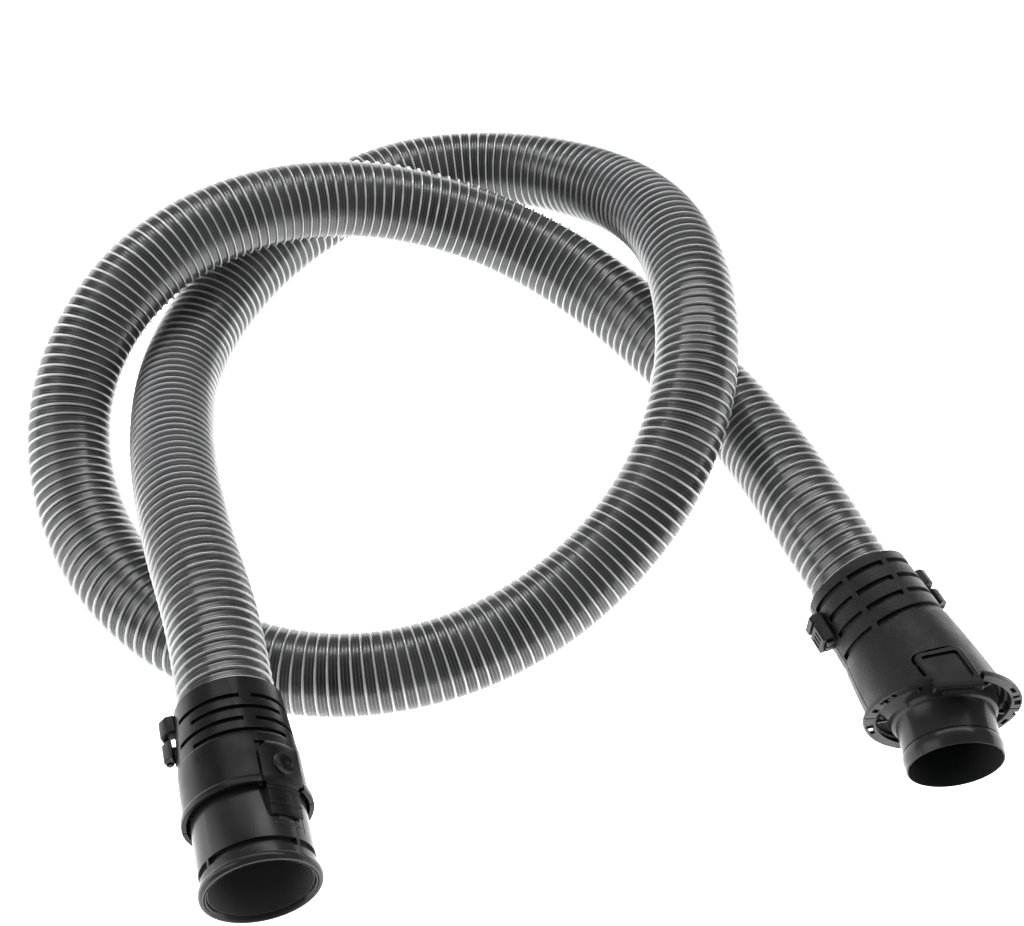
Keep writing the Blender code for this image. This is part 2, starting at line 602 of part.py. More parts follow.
def machine_connector(parent, finishes):
    """Casing and spigot of the machine connector, bent before its flange."""
    outline = grooves(
        MACHINE_RIM_RADIUS, MACHINE_CUFF_RADIUS, MACHINE_CUFF_END, MACHINE_RIM_BAND, MACHINE_GROOVE_LAND)
    rings = 8
    for ring in range(rings + 1):
        t = MACHINE_CUFF_END + (FLANGE_BACK - MACHINE_CUFF_END) * ring / rings
        outline.append((cone_surface(t), t))
    outline += [(FLANGE_RADIUS, FLANGE_BACK), (FLANGE_RADIUS, FLANGE_FACE)]
    hole = ROOT_COLLAR_RADIUS + RUN_GAP
    inner_step = SPIGOT_INNER_RADIUS + RUN_GAP
    outline += [(hole, FLANGE_FACE), (hole, FLANGE_BACK)]
    outline += [(cone_surface(t) - COVER_WALL, t) for t in (FLANGE_BACK, LEDGE_C_END)]
    outline += [(inner_step, LEDGE_C_END), (inner_step, LEDGE_C_START)]
    cone_start = SHELL_STEP + COVER_WALL
    for ring in range(rings - 2, -1, -1):
        t = cone_start + (LEDGE_C_START - cone_start) * ring / (rings - 2)
        outline.append((cone_surface(t) - COVER_WALL, t))
    outline.append((inner_step, cone_start))
    outline += swivel_bore(inner_step)
    shells = half_shells("machine", outline, finishes["grain"], parent, bend=True)
    share = (MACHINE_KNUCKLE_START + HINGE_LENGTH) / MACHINE_CUFF_END
    wall = MACHINE_RIM_RADIUS + share * MACHINE_CUFF_FLARE
    add_hinge("machine", 1, wall, MACHINE_KNUCKLE_START, shells, finishes["satin"], parent)
    closing_clip(shells, parent, finishes)

    neck = SPIGOT_INNER_RADIUS
    bead_end = SPIGOT_END - BEAD_SETBACK
    bead_start = bead_end - BEAD_LENGTH
    bead = SPIGOT_RADIUS + BEAD_HEIGHT
    collar_end = FLANGE_FACE + ROOT_COLLAR_LENGTH
    rings_out = [(neck, SEAT_END + (DISC_START - SEAT_END) * k / 4) for k in range(4)]
    rings_in = [(SPIGOT_BORE, FLANGE_FACE - BEND_LENGTH * k / 4) for k in range(5)]
    spigot = [(SLEEVE_SEAT, TUBE_START), (neck, TUBE_START)] + rings_out
    spigot += [
        (neck, DISC_START), (SPIGOT_DISC_RADIUS, DISC_START), (SPIGOT_DISC_RADIUS, DISC_END),
        (ROOT_COLLAR_RADIUS, DISC_END), (ROOT_COLLAR_RADIUS, FLANGE_FACE), (ROOT_COLLAR_RADIUS, collar_end),
        (SPIGOT_RADIUS, collar_end), (SPIGOT_RADIUS, bead_start - BEAD_HEIGHT), (bead, bead_start),
        (bead, bead_end), (SPIGOT_RADIUS, bead_end + BEAD_HEIGHT),
        (SPIGOT_RADIUS, SPIGOT_END - MOUTH_CHAMFER), (SPIGOT_RADIUS - MOUTH_CHAMFER, SPIGOT_END),
        (SPIGOT_BORE, SPIGOT_END)]
    spigot += rings_in + [(SLEEVE_SEAT, SEAT_END)]
    finish("machine_spigot", turned(spigot, bend=True), finishes["gloss"], parent)
    return shells[0]


def closing_clip(shells, parent, finishes):
    """Blocks on the left of the machine cuff and the clip that holds them together."""
    middle = CLIP_START + CLIP_LENGTH / 2
    wall = MACHINE_RIM_RADIUS + MACHINE_CUFF_FLARE * (CLIP_START + CLIP_LENGTH) / MACHINE_CUFF_END
    face = wall + CLIP_BLOCK_DEPTH
    root = SHELL_BORE + MACHINE_CUFF_WALL / 3
    top = FACE_GAP + CLIP_BLOCK_HEIGHT
    for sign, shell in zip((1, -1), shells):
        low, high = sorted((sign * FACE_GAP, sign * top))
        pad = block((-face, low, CLIP_START), (-root, high, CLIP_START + CLIP_LENGTH))
        combine(shell, tool("clip_block_" + shell.name, pad, parent), "UNION")
    inside = face + FACE_GAP
    outside = inside + CLIP_THICKNESS
    arm = top + FACE_GAP
    back = arm + CLIP_THICKNESS
    reach = wall + 2 * FACE_GAP
    outline = [(-reach, back), (-outside, back), (-outside, -back), (-reach, -back),
               (-reach, -arm), (-inside, -arm), (-inside, arm), (-reach, arm)]
    half = CLIP_LENGTH / 2 - CLIP_THICKNESS
    finish("machine_clip", prism(outline, 2, middle - half, middle + half), finishes["satin"], parent)


def machine_latch(shell, connector, finishes):
    """Latch lever with its nose, its pin and its coil spring, and the window they need."""
    angle = bend_angle(LATCH_PIN_T)
    pivot = frame("latch_pivot", (0.0, LATCH_PIN_Y, LATCH_PIN_T), parent=connector)
    pivot.rotation_euler = (0.0, -angle, 0.0)
    pin_side = Vector((math.cos(angle), 0.0, math.sin(angle)))
    pin_middle = Vector((0.0, LATCH_PIN_Y, LATCH_PIN_T))
    to_pivot = (Matrix.Translation(pin_middle) @ Matrix.Rotation(-angle, 4, "Y")).inverted()

    half = LATCH_WIDTH / 2
    open_half = half + WINDOW_GAP
    cheek_half = open_half + CHEEK_WIDTH
    cheek_low = LATCH_PIN_Y - 2 * LATCH_HOLE
    cheek_high = LATCH_PIN_Y + LATCH_HOLE + CHEEK_COVER
    reach = (cheek_half - FACE_GAP) * pin_side
    for label, side in (("left", -1), ("right", 1)):
        near, far = sorted((side * (open_half - FACE_GAP), side * cheek_half))
        cheek = block((near, cheek_low, LATCH_PIN_T - CHEEK_LENGTH / 2),
                      (far, cheek_high, LATCH_PIN_T + CHEEK_LENGTH / 2))
        combine(shell, tool("latch_cheek_" + label, bent(cheek), connector), "UNION")
    hole = rod(LATCH_HOLE, pin_middle - reach, pin_middle + reach)
    combine(shell, tool("latch_pin_hole", hole, connector), "DIFFERENCE")
    sky = FLANGE_RADIUS + LATCH_THICKNESS + LATCH_PROUD
    nose_low = cone_surface(FLANGE_BACK) - LATCH_THICKNESS - LATCH_HOOK
    window_side = [
        (SPIGOT_INNER_RADIUS + COVER_WALL, LATCH_START - WINDOW_GAP), (sky, LATCH_START - WINDOW_GAP),
        (sky, FLANGE_FACE + FLANGE_THICKNESS), (nose_low - WINDOW_GAP, FLANGE_FACE + FLANGE_THICKNESS),
        (nose_low - WINDOW_GAP, LEDGE_C_START - FACE_GAP),
        (SPIGOT_INNER_RADIUS + COVER_WALL, LEDGE_C_START - FACE_GAP)]
    window = bent(prism(window_side, 0, -open_half, open_half))
    combine(shell, tool("latch_window", window, connector), "DIFFERENCE")

    top_start = cone_surface(LATCH_START) + LATCH_PROUD
    top_end = cone_surface(FLANGE_BACK) + LATCH_PROUD
    nose_end = FLANGE_FACE + LATCH_NOSE
    side_view = [
        (top_start - LATCH_THICKNESS, LATCH_START), (top_start - LATCH_PROUD, LATCH_START),
        (top_start, LATCH_START + LATCH_PROUD), (top_end, FLANGE_BACK), (top_end, nose_end - LATCH_PROUD),
        (top_end - LATCH_PROUD, nose_end), (nose_low, nose_end - LATCH_PROUD),
        (nose_low, nose_end - LATCH_HOOK), (top_end - LATCH_THICKNESS, nose_end - LATCH_HOOK),
        (top_end - LATCH_THICKNESS, FLANGE_BACK)]
    lever = moved(bent(prism(side_view, 0, -half, half)), to_pivot)
    latch = finish("machine_latch", lever, finishes["satin"], pivot)
    boss_radius = LATCH_HOLE + LATCH_PIN_RADIUS / 2
    boss_half = half - WINDOW_GAP
    boss_top = LATCH_PIN_DEPTH - LATCH_PROUD
    boss = block((-boss_half, -boss_radius, -boss_radius), (boss_half, boss_top, boss_radius))
    combine(latch, tool("latch_boss", boss, pivot), "UNION")
    bore = rod(LATCH_HOLE, (-half, 0, 0), (half, 0, 0))
    combine(latch, tool("latch_bore", bore, pivot), "DIFFERENCE")

    pin_reach = (cheek_half - 2 * FACE_GAP) * pin_side
    pin = rod(LATCH_PIN_RADIUS, pin_middle - pin_reach, pin_middle + pin_reach)
    finish("machine_latch_pin", pin, finishes["steel"], connector)

    spring_t = FLANGE_FACE - SPRING_SETBACK
    low = SPIGOT_INNER_RADIUS + FACE_GAP + SPRING_WIRE
    high = cone_surface(spring_t) + LATCH_PROUD - LATCH_THICKNESS - 2 * FACE_GAP - SPRING_WIRE
    coil_spring("machine_latch_spring", spring_t, low, high, connector, finishes["steel"])


def curve_object(name, points, radii, depth, tilt, up=False):
    """A capped tube through points as a curve object."""
    curve = bpy.data.curves.new(name, "CURVE")
    curve.dimensions = "3D"
    curve.twist_mode = "Z_UP" if up else "MINIMUM"
    curve.bevel_depth = depth
    curve.bevel_resolution = BEVEL_RESOLUTION if up else 0
    curve.use_fill_caps = True
    spline = curve.splines.new("POLY")
    spline.points.add(len(points) - 1)
    for item, point, radius in zip(spline.points, points, radii):
        item.co = (*point, 1.0)
        item.radius = radius
        item.tilt = tilt
    obj = bpy.data.objects.new(name, curve)
    bpy.context.collection.objects.link(obj)
    return obj


def curve_mesh(obj):
    """The bmesh of a curve object, which is then removed."""
    bpy.context.view_layer.update()
    evaluated = obj.evaluated_get(bpy.context.evaluated_depsgraph_get())
    mesh = bpy.data.meshes.new_from_object(evaluated)
    shape = bmesh.new()
    shape.from_mesh(mesh)
    bpy.data.objects.remove(obj, do_unlink=True)
    return shape


def coil_spring(name, spring_t, low, high, parent, material):
    """A coil spring that stands on the spigot's neck and presses the latch up."""
    steps = 10
    count = SPRING_TURNS * steps
    points = []
    for step in range(count + 1):
        angle = 2 * math.pi * step / steps
        height = low + (high - low) * step / count
        points.append((SPRING_RADIUS * math.cos(angle), height, spring_t + SPRING_RADIUS * math.sin(angle)))
    tube = curve_object(name + "_path", points, [1.0] * len(points), SPRING_WIRE, 0.0)
    finish(name, curve_mesh(tube), material, parent)


def smooth_curve(points, per_span=24):
    """Natural cubic curve through points, read finely."""
    knots = np.array(points, dtype=float)
    spans = np.linalg.norm(np.diff(knots, axis=0), axis=1)
    count = len(knots)
    system = np.eye(count)
    right = np.zeros((count, 3))
    for i in range(1, count - 1):
        system[i, i - 1:i + 2] = spans[i - 1], 2 * (spans[i - 1] + spans[i]), spans[i]
        slope_after = (knots[i + 1] - knots[i]) / spans[i]
        slope_before = (knots[i] - knots[i - 1]) / spans[i - 1]
        right[i] = 6 * (slope_after - slope_before)
    bending = np.linalg.solve(system, right)
    read = [knots[0]]
    for i, span in enumerate(spans):
        for step in range(1, per_span + 1):
            b = step / per_span
            a = 1.0 - b
            bow = (a ** 3 - a) * bending[i] + (b ** 3 - b) * bending[i + 1]
            read.append(a * knots[i] + b * knots[i + 1] + bow * span ** 2 / 6)
    return np.array(read)


def along(curve, lengths):
    """Points at given lengths along a finely read curve."""
    steps = np.linalg.norm(np.diff(curve, axis=0), axis=1)
    run = np.concatenate([[0.0], np.cumsum(steps)])
    return np.stack([np.interp(lengths, run, curve[:, axis]) for axis in range(3)], axis=1)


def hose_route(handle, machine):
    """Knots of the hose's middle: straight out of each cuff, and the chosen points between."""
    def on_axis(connector, t):
        return tuple(connector.matrix_world @ Vector((0.0, 0.0, t)))

    stations = (HOSE_INSERTION, HOSE_INSERTION - HOSE_STRAIGHT / 2, -HOSE_STRAIGHT)
    head = [on_axis(handle, t) for t in stations]
    tail = [on_axis(machine, t) for t in reversed(stations)]
    middle = [(x, y, height * HOSE_DIAMETER) for x, y, height in ROUTE]
    return head + middle + tail


def hose(handle, machine, material):
    """The ribbed hose with its bore, resting on its lowest ribs."""
    curve = smooth_curve(hose_route(handle, machine))
    curve[:, 2] = np.maximum(curve[:, 2], CREST_RADIUS)
    length = np.linalg.norm(np.diff(curve, axis=0), axis=1).sum()
    neck = HOSE_INSERTION + FACE_GAP
    pitch = (length - 2 * neck) / RIB_COUNT
    stations, radii = [0.0], [VALLEY_RADIUS]
    for rib in range(RIB_COUNT):
        stations += [neck + rib * pitch, neck + (rib + 0.5) * pitch]
        radii += [VALLEY_RADIUS, CREST_RADIUS]
    stations += [length - neck, length]
    radii += [VALLEY_RADIUS, VALLEY_RADIUS]
    flat_down = math.pi / HOSE_SIDES
    corner = 1.0 / math.cos(flat_down)
    points = along(curve, stations)
    radii = np.array(radii)
    outer = curve_object("hose_path", points, radii / CREST_RADIUS, CREST_RADIUS * corner, flat_down, True)
    skin = curve_mesh(outer)
    report_gap(skin, points, radii, pitch)
    body = finish("hose", skin, material, None)

    rings = max(2, round(length / BORE_STEP))
    bore = along(curve, np.linspace(0.0, length, rings + 1))
    bore[0] += bore[0] - points[1]
    bore[-1] += bore[-1] - points[-2]
    inner = curve_object("bore_path", bore, [1.0] * len(bore), BORE_RADIUS * corner, flat_down, True)
    combine(body, tool("hose_bore", curve_mesh(inner), None), "DIFFERENCE")
    print("hose length %.4f m, rib pitch %.5f m, lowest middle %.5f m" % (length, pitch, curve[:, 2].min()))


def report_gap(skin, points, radii, pitch):
    """Print the least gap between strands of the hose, from the reach of each pair of ribs."""
    skin.verts.ensure_lookup_table()
    count = HOSE_SIDES * len(points)
    corners = np.array([vert.co for vert in skin.verts][:count]).reshape(-1, HOSE_SIDES, 3)
    crests = np.nonzero(radii == CREST_RADIUS)[0]
    middles = points[crests]
    arms = corners[crests] - middles[:, None, :]
    strand = 3 * HOSE_DIAMETER / pitch
    least = math.inf
    for i in range(len(crests)):
        others = np.arange(len(crests))
        others = others[others > i + strand]
        if len(others) == 0:
            break
        offset = middles[others] - middles[i]
        distance = np.linalg.norm(offset, axis=1)
        direction = offset / distance[:, None]
        reach = (arms[i] @ direction.T).max(axis=0)
        back = np.einsum("nkc,nc->nk", arms[others], -direction).max(axis=1)
        least = min(least, (distance - reach - back).min())
    print("least gap between strands %.5f m" % least)


def main():
    """Build the whole part."""
    clear_scene()
    finishes = {
        "silver": plastic("hose_silver", (0.30, 0.30, 0.31), 0.42),
        "grain": plastic("black_grain", (0.012, 0.012, 0.013), 0.58),
        "satin": plastic("black_satin", (0.014, 0.014, 0.015), 0.40),
        "gloss": plastic("black_gloss", (0.010, 0.010, 0.011), 0.16),
        "sleeve": plastic("sleeve_grey", (0.10, 0.10, 0.105), 0.45),
        "ring": plastic("slip_ring_white", (0.75, 0.75, 0.72), 0.40),
        "rubber": plastic("seal_rubber", (0.02, 0.02, 0.02), 0.80),
        "steel": plastic("steel", (0.56, 0.56, 0.55), 0.30, 1.0),
    }
    handle = frame("handle_frame", HANDLE_PLACE, HANDLE_HEADING, HANDLE_RISE)
    machine = frame("machine_frame", MACHINE_PLACE, MACHINE_HEADING)
    bpy.context.view_layer.update()
    hose(handle, machine, finishes["silver"])
    swivel_parts("handle", handle, finishes["sleeve"], finishes["ring"], finishes["rubber"])
    swivel_parts("machine", machine, finishes["sleeve"], finishes["ring"], finishes["rubber"])
    shell, tube = handle_connector(handle, finishes)
    handle_button(shell, tube, handle, finishes)
    cover = machine_connector(machine, finishes)
    machine_latch(cover, machine, finishes)


main()
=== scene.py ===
"""Looks of a household suction hose with a swivelling connector at each end.

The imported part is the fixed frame. Every shape here is made in metres. A connector is shaped along its
own axis first: t runs from the cuff's rim away from the hose, and phi turns clockwise from the top,
seen from the connector's open end. The finished mesh is then carried to its place.
"""

import json
import logging
import math
from collections.abc import Callable, Sequence
from dataclasses import dataclass, field
from enum import Enum

import bmesh
import bpy
import numpy as np
from mathutils import Euler, Matrix, Vector

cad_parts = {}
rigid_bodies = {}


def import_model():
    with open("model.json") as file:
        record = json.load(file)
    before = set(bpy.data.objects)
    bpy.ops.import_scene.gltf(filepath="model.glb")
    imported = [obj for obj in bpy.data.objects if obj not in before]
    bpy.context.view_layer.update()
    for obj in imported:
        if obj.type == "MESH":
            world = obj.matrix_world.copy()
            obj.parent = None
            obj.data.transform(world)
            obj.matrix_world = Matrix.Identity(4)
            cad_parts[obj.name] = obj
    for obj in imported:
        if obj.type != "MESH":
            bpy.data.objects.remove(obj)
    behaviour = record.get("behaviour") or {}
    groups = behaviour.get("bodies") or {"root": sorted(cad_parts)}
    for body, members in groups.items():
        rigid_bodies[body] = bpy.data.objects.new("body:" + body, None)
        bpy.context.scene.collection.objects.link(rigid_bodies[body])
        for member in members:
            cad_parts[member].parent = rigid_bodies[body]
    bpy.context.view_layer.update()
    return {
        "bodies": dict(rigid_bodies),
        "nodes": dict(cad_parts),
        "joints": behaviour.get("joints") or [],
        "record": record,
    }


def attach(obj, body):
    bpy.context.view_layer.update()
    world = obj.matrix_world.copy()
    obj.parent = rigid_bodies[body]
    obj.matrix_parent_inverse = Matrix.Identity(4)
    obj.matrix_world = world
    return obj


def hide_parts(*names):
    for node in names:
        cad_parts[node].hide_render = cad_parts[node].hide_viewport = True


LOG = logging.getLogger("hose_scene")
MM = 0.001
Pair = tuple[float, float]
Triple = tuple[float, float, float]


def mm(*points: Sequence[float]) -> list[tuple[float, ...]]:
    """Carry points from millimetres to metres.

    Args:
        *points: The points in millimetres.

    Returns:
        The points in metres.
    """
    return [tuple(value * MM for value in point) for point in points]


class Body(Enum):
    """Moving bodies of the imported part."""

    HOSE = "hose"
    HANDLE = "handle"
    BUTTON = "button"
    MACHINE = "machine"
    LATCH = "latch"


class Slot(Enum):
    """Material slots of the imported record."""

    HOSE = "hose"
    GRAIN = "grain"
    SATIN = "satin"
    GLOSS = "gloss"
    SLEEVE = "sleeve"
    SLIP_RING = "slip_ring"
    RUBBER = "rubber"
    STEEL = "steel"


class Cut(Enum):
    """What a helper shape does to a piece."""

    TAKE = "DIFFERENCE"
    JOIN = "UNION"


class NodeBoard:
    """A material's node tree, filled node by node."""

    def __init__(self, name: str) -> None:
        """Start a material with one Principled shader.

        Args:
            name: The material's name.
        """
        self.material = bpy.data.materials.new(name)
        self.material.use_nodes = True
        self.tree = self.material.node_tree
        self.shader = self.tree.nodes["Principled BSDF"]
        self.place = self.add("ShaderNodeTexCoord").outputs["Object"]

    def add(self, kind: str, **settings: object) -> bpy.types.Node:
        """Add a node.

        Args:
            kind: Blender's name of the node.
            **settings: Properties of the node.

        Returns:
            The new node.
        """
        node = self.tree.nodes.new(kind)
        for key, value in settings.items():
            setattr(node, key, value)
        return node

    def link(self, source: bpy.types.NodeSocket, target: bpy.types.NodeSocket) -> None:
        """Join two sockets."""
        self.tree.links.new(source, target)

    def noise(
            self, size: float, detail: float = 2.0,
            stretch: Triple = (1.0, 1.0, 1.0)) -> bpy.types.NodeSocket:
        """Noise on Object coordinates.

        Args:
            size: Size of its lumps in metres.
            detail: Octaves of finer noise.
            stretch: Scale of each axis before the noise.

        Returns:
            The noise's value.
        """
        mapping = self.add("ShaderNodeMapping")
        mapping.inputs["Scale"].default_value = stretch
        self.link(self.place, mapping.inputs["Vector"])
        node = self.add("ShaderNodeTexNoise")
        node.inputs["Scale"].default_value = 1.0 / size
        node.inputs["Detail"].default_value = detail
        self.link(mapping.outputs["Vector"], node.inputs["Vector"])
        return node.outputs["Fac"]

    def spread(self, value: bpy.types.NodeSocket, source: Pair, target: Pair) -> bpy.types.NodeSocket:
        """Carry a value from one range to another.

        Args:
            value: The value.
            source: The range that is read, from low to high.
            target: The range that is given.

        Returns:
            The value in the new range.
        """
        node = self.add("ShaderNodeMapRange")
        for name, number in zip(("From Min", "From Max", "To Min", "To Max"), (*source, *target)):
            node.inputs[name].default_value = number
        self.link(value, node.inputs["Value"])
        return node.outputs["Result"]

    def blend(self, share: bpy.types.NodeSocket, first: object, second: object) -> bpy.types.NodeSocket:
        """Blend two colours.

        Args:
            share: How much of the second colour shows.
            first: A colour, or a socket that gives one.
            second: A colour, or a socket that gives one.

        Returns:
            The blended colour.
        """
        node = self.add("ShaderNodeMix", data_type="RGBA")
        self.link(share, node.inputs[0])
        for socket, colour in ((node.inputs[6], first), (node.inputs[7], second)):
            if isinstance(colour, bpy.types.NodeSocket):
                self.link(colour, socket)
            else:
                socket.default_value = (*colour, 1.0)
        return node.outputs[2]

    def bump(self, height: bpy.types.NodeSocket, depth: float, strength: float) -> None:
        """Raise fine relief on the surface, on top of relief that is there already.

        Args:
            height: The relief, from 0 to 1.
            depth: Its depth in metres.
            strength: How much of it shows.
        """
        node = self.add("ShaderNodeBump")
        node.inputs["Distance"].default_value = depth
        node.inputs["Strength"].default_value = strength
        self.link(height, node.inputs["Height"])
        target = self.shader.inputs["Normal"]
        if target.is_linked:
            self.link(target.links[0].from_socket, node.inputs["Normal"])
        self.link(node.outputs["Normal"], target)

    def roughness(self, low: float, high: float, size: float) -> None:
        """Let the roughness wander between two values in patches of a size in metres."""
        patches = self.spread(self.noise(size, 4.0), (0.3, 0.7), (low, high))
        self.link(patches, self.shader.inputs["Roughness"])


@dataclass(frozen=True)
class MouldedPlastic:
    """Moulded plastic with grain, flow marks, edges lightened as wear and as painted highlight, and a paler
    tone painted inside as light where a mesh marks it.
    """

    name: str
    colour: Triple
    # Edge colour: wear and painted highlight on pointed edges.
    wear_and_highlight: Triple
    roughness: Pair
    grain: float
    relief: float
    grain_strength: float = 0.6
    sheen: float = 0.5
    # Paler colour painted inside a bore, as light that reaches in.
    inside: Triple = (0.11, 0.11, 0.11)

    def material(self) -> bpy.types.Material:
        """Make the material.

        Returns:
            The material.
        """
        board = NodeBoard(self.name)
        cloud = board.spread(board.noise(14 * MM, 4.0), (0.35, 0.7), (0.0, 0.5))
        # Pointed edges are lightened towards the edge colour, partly as wear and partly as painted highlight.
        edge = board.add("ShaderNodeNewGeometry").outputs["Pointiness"]
        edge_wear_and_highlight = board.spread(edge, (0.53, 0.62), (0.0, 0.55))
        clouded = board.blend(cloud, self.colour, tuple(1.5 * c for c in self.colour))
        # Where the mesh marks the bore, the colour is painted paler as light inside.
        marked = board.add("ShaderNodeAttribute", attribute_name="inside").outputs["Fac"]
        outside = board.blend(edge_wear_and_highlight, clouded, self.wear_and_highlight)
        board.link(board.blend(marked, outside, self.inside), board.shader.inputs["Base Color"])
        board.shader.inputs["Specular IOR Level"].default_value = self.sheen
        board.roughness(*self.roughness, 9 * MM)
        board.bump(board.noise(self.grain, 2.0), self.relief, self.grain_strength)
        board.bump(board.noise(26 * MM, 2.0), 0.12 * MM, 0.25)
        return board.material


@dataclass(frozen=True)
class RibbedSkin:
    """Silver-grey hose skin: rib crests glossier than valleys, crests painted pale as highlight and valleys
    painted dark as shade, fine draw marks along the ribs.
    """

    name: str
    # Valley colour is painted shade; the crests' colour is a painted highlight.
    valley: Triple
    crest_highlight: Triple
    metallic: float
    attribute: str = "rib"

    def material(self) -> bpy.types.Material:
        """Make the material.

        Returns:
            The material.
        """
        board = NodeBoard(self.name)
        rib = board.add("ShaderNodeAttribute", attribute_name=self.attribute).outputs["Fac"]
        height = board.spread(rib, (0.3, 1.0), (0.0, 1.0))
        patch = board.spread(board.noise(30 * MM, 3.0), (0.35, 0.65), (0.0, 0.35))
        # Blends from painted shade in the valleys to painted highlight on the crests, by rib height.
        base = board.blend(height, self.valley, self.crest_highlight)
        # Dust patches are mixed over the painted rib highlight and shade.
        dust_and_rib_light = board.blend(patch, base, tuple(0.22 * c for c in self.crest_highlight))
        board.link(dust_and_rib_light, board.shader.inputs["Base Color"])
        board.shader.inputs["Metallic"].default_value = self.metallic
        board.link(board.spread(rib, (0.0, 0.5), (0.36, 0.22)), board.shader.inputs["Roughness"])
        board.bump(board.noise(0.9 * MM, 3.0), 0.05 * MM, 0.5)
        board.bump(board.noise(7 * MM, 2.0), 0.15 * MM, 0.3)
        return board.material


@dataclass(frozen=True)
class DrawnSteel:
    """Bright drawn steel with fine marks along one axis."""

    name: str
    colour: Triple = (0.56, 0.56, 0.55)

    def material(self) -> bpy.types.Material:
        """Make the material.

        Returns:
            The material.
        """
        board = NodeBoard(self.name)
        marks = board.noise(1.5 * MM, 3.0, (1.0, 9.0, 9.0))
        dull = tuple(0.6 * c for c in self.colour)
        board.link(board.blend(marks, dull, self.colour), board.shader.inputs["Base Color"])
        board.shader.inputs["Metallic"].default_value = 1.0
        board.roughness(0.22, 0.4, 3 * MM)
        board.bump(marks, 0.02 * MM, 0.4)
        return board.material


FINISHES = {
    # The hose skin's dark valley colour is painted shade and its pale crest colour a painted highlight.
    Slot.HOSE: RibbedSkin("hose_skin", (0.025, 0.025, 0.026), (0.80, 0.80, 0.805), metallic=0.3),
    # The second colour of each moulded plastic lightens its edges, as wear and as painted highlight.
    Slot.GRAIN: MouldedPlastic(
        "cover_grain", (0.006, 0.006, 0.0062), (0.03, 0.03, 0.03), (0.32, 0.5),
        grain=0.8 * MM, relief=0.25 * MM, grain_strength=1.0, sheen=0.28),
    Slot.SATIN: MouldedPlastic(
        "satin_black", (0.007, 0.007, 0.0073), (0.05, 0.05, 0.05), (0.26, 0.38),
        grain=0.35 * MM, relief=0.03 * MM, grain_strength=0.5, sheen=0.13),
    Slot.GLOSS: MouldedPlastic(
        "gloss_black", (0.024, 0.024, 0.0245), (0.06, 0.06, 0.06), (0.14, 0.26),
        grain=0.6 * MM, relief=0.012 * MM, grain_strength=0.4, sheen=0.18),
    Slot.SLEEVE: MouldedPlastic(
        "sleeve_grey", (0.09, 0.09, 0.095), (0.14, 0.14, 0.14), (0.36, 0.5),
        grain=0.5 * MM, relief=0.03 * MM),
    Slot.SLIP_RING: MouldedPlastic(
        "slip_ring_white", (0.70, 0.70, 0.67), (0.78, 0.78, 0.76), (0.3, 0.45),
        grain=0.6 * MM, relief=0.02 * MM),
    Slot.RUBBER: MouldedPlastic(
        "seal_rubber", (0.018, 0.018, 0.018), (0.035, 0.035, 0.035), (0.7, 0.9),
        grain=0.5 * MM, relief=0.05 * MM),
    Slot.STEEL: DrawnSteel("drawn_steel"),
}


@dataclass(frozen=True)
class Seat:
    """Where a connector's axis starts, and where it points."""

    place: Triple
    heading: float
    rise: float = 0.0

    def matrix(self) -> Matrix:
        """Give the connector's frame: local Z along its axis, local Y up."""
        turn = Euler((math.radians(90.0 - self.rise), 0.0, math.radians(self.heading)))
        return Matrix.LocRotScale(Vector(self.place), turn, None)

    def on_axis(self, t: float) -> Triple:
        """Give a point of the axis."""
        return tuple(self.matrix() @ Vector((0.0, 0.0, t)))


HANDLE_SEAT = Seat((-0.1647, -0.0041, 0.0806), 14.6, 5.0)
MACHINE_SEAT = Seat((0.1261, 0.0871, 0.0364), 24.5)


def polar(point: Vector) -> Triple:
    """Read a point of a connector as radius, phi in degrees and t.

    Args:
        point: The point in the connector's frame.

    Returns:
        Radius, phi from -180 to 180, and t.
    """
    return math.hypot(point.x, point.y), math.degrees(math.atan2(point.x, point.y)), point.z


def rounded(low: Pair, high: Pair, radius: float, steps: int = 5) -> list[Pair]:
    """Outline of a rectangle with round corners.

    Args:
        low: Lowest corner.
        high: Highest corner.
        radius: Radius of the corners.
        steps: Edges on each corner.

    Returns:
        The outline's points, in order.
    """
    outline = []
    middles = [(high[0] - radius, high[1] - radius), (low[0] + radius, high[1] - radius),
               (low[0] + radius, low[1] + radius), (high[0] - radius, low[1] + radius)]
    for corner, middle in enumerate(middles):
        for step in range(steps + 1):
            angle = math.pi / 2 * (corner + step / steps)
            outline.append((middle[0] + radius * math.cos(angle), middle[1] + radius * math.sin(angle)))
    return outline


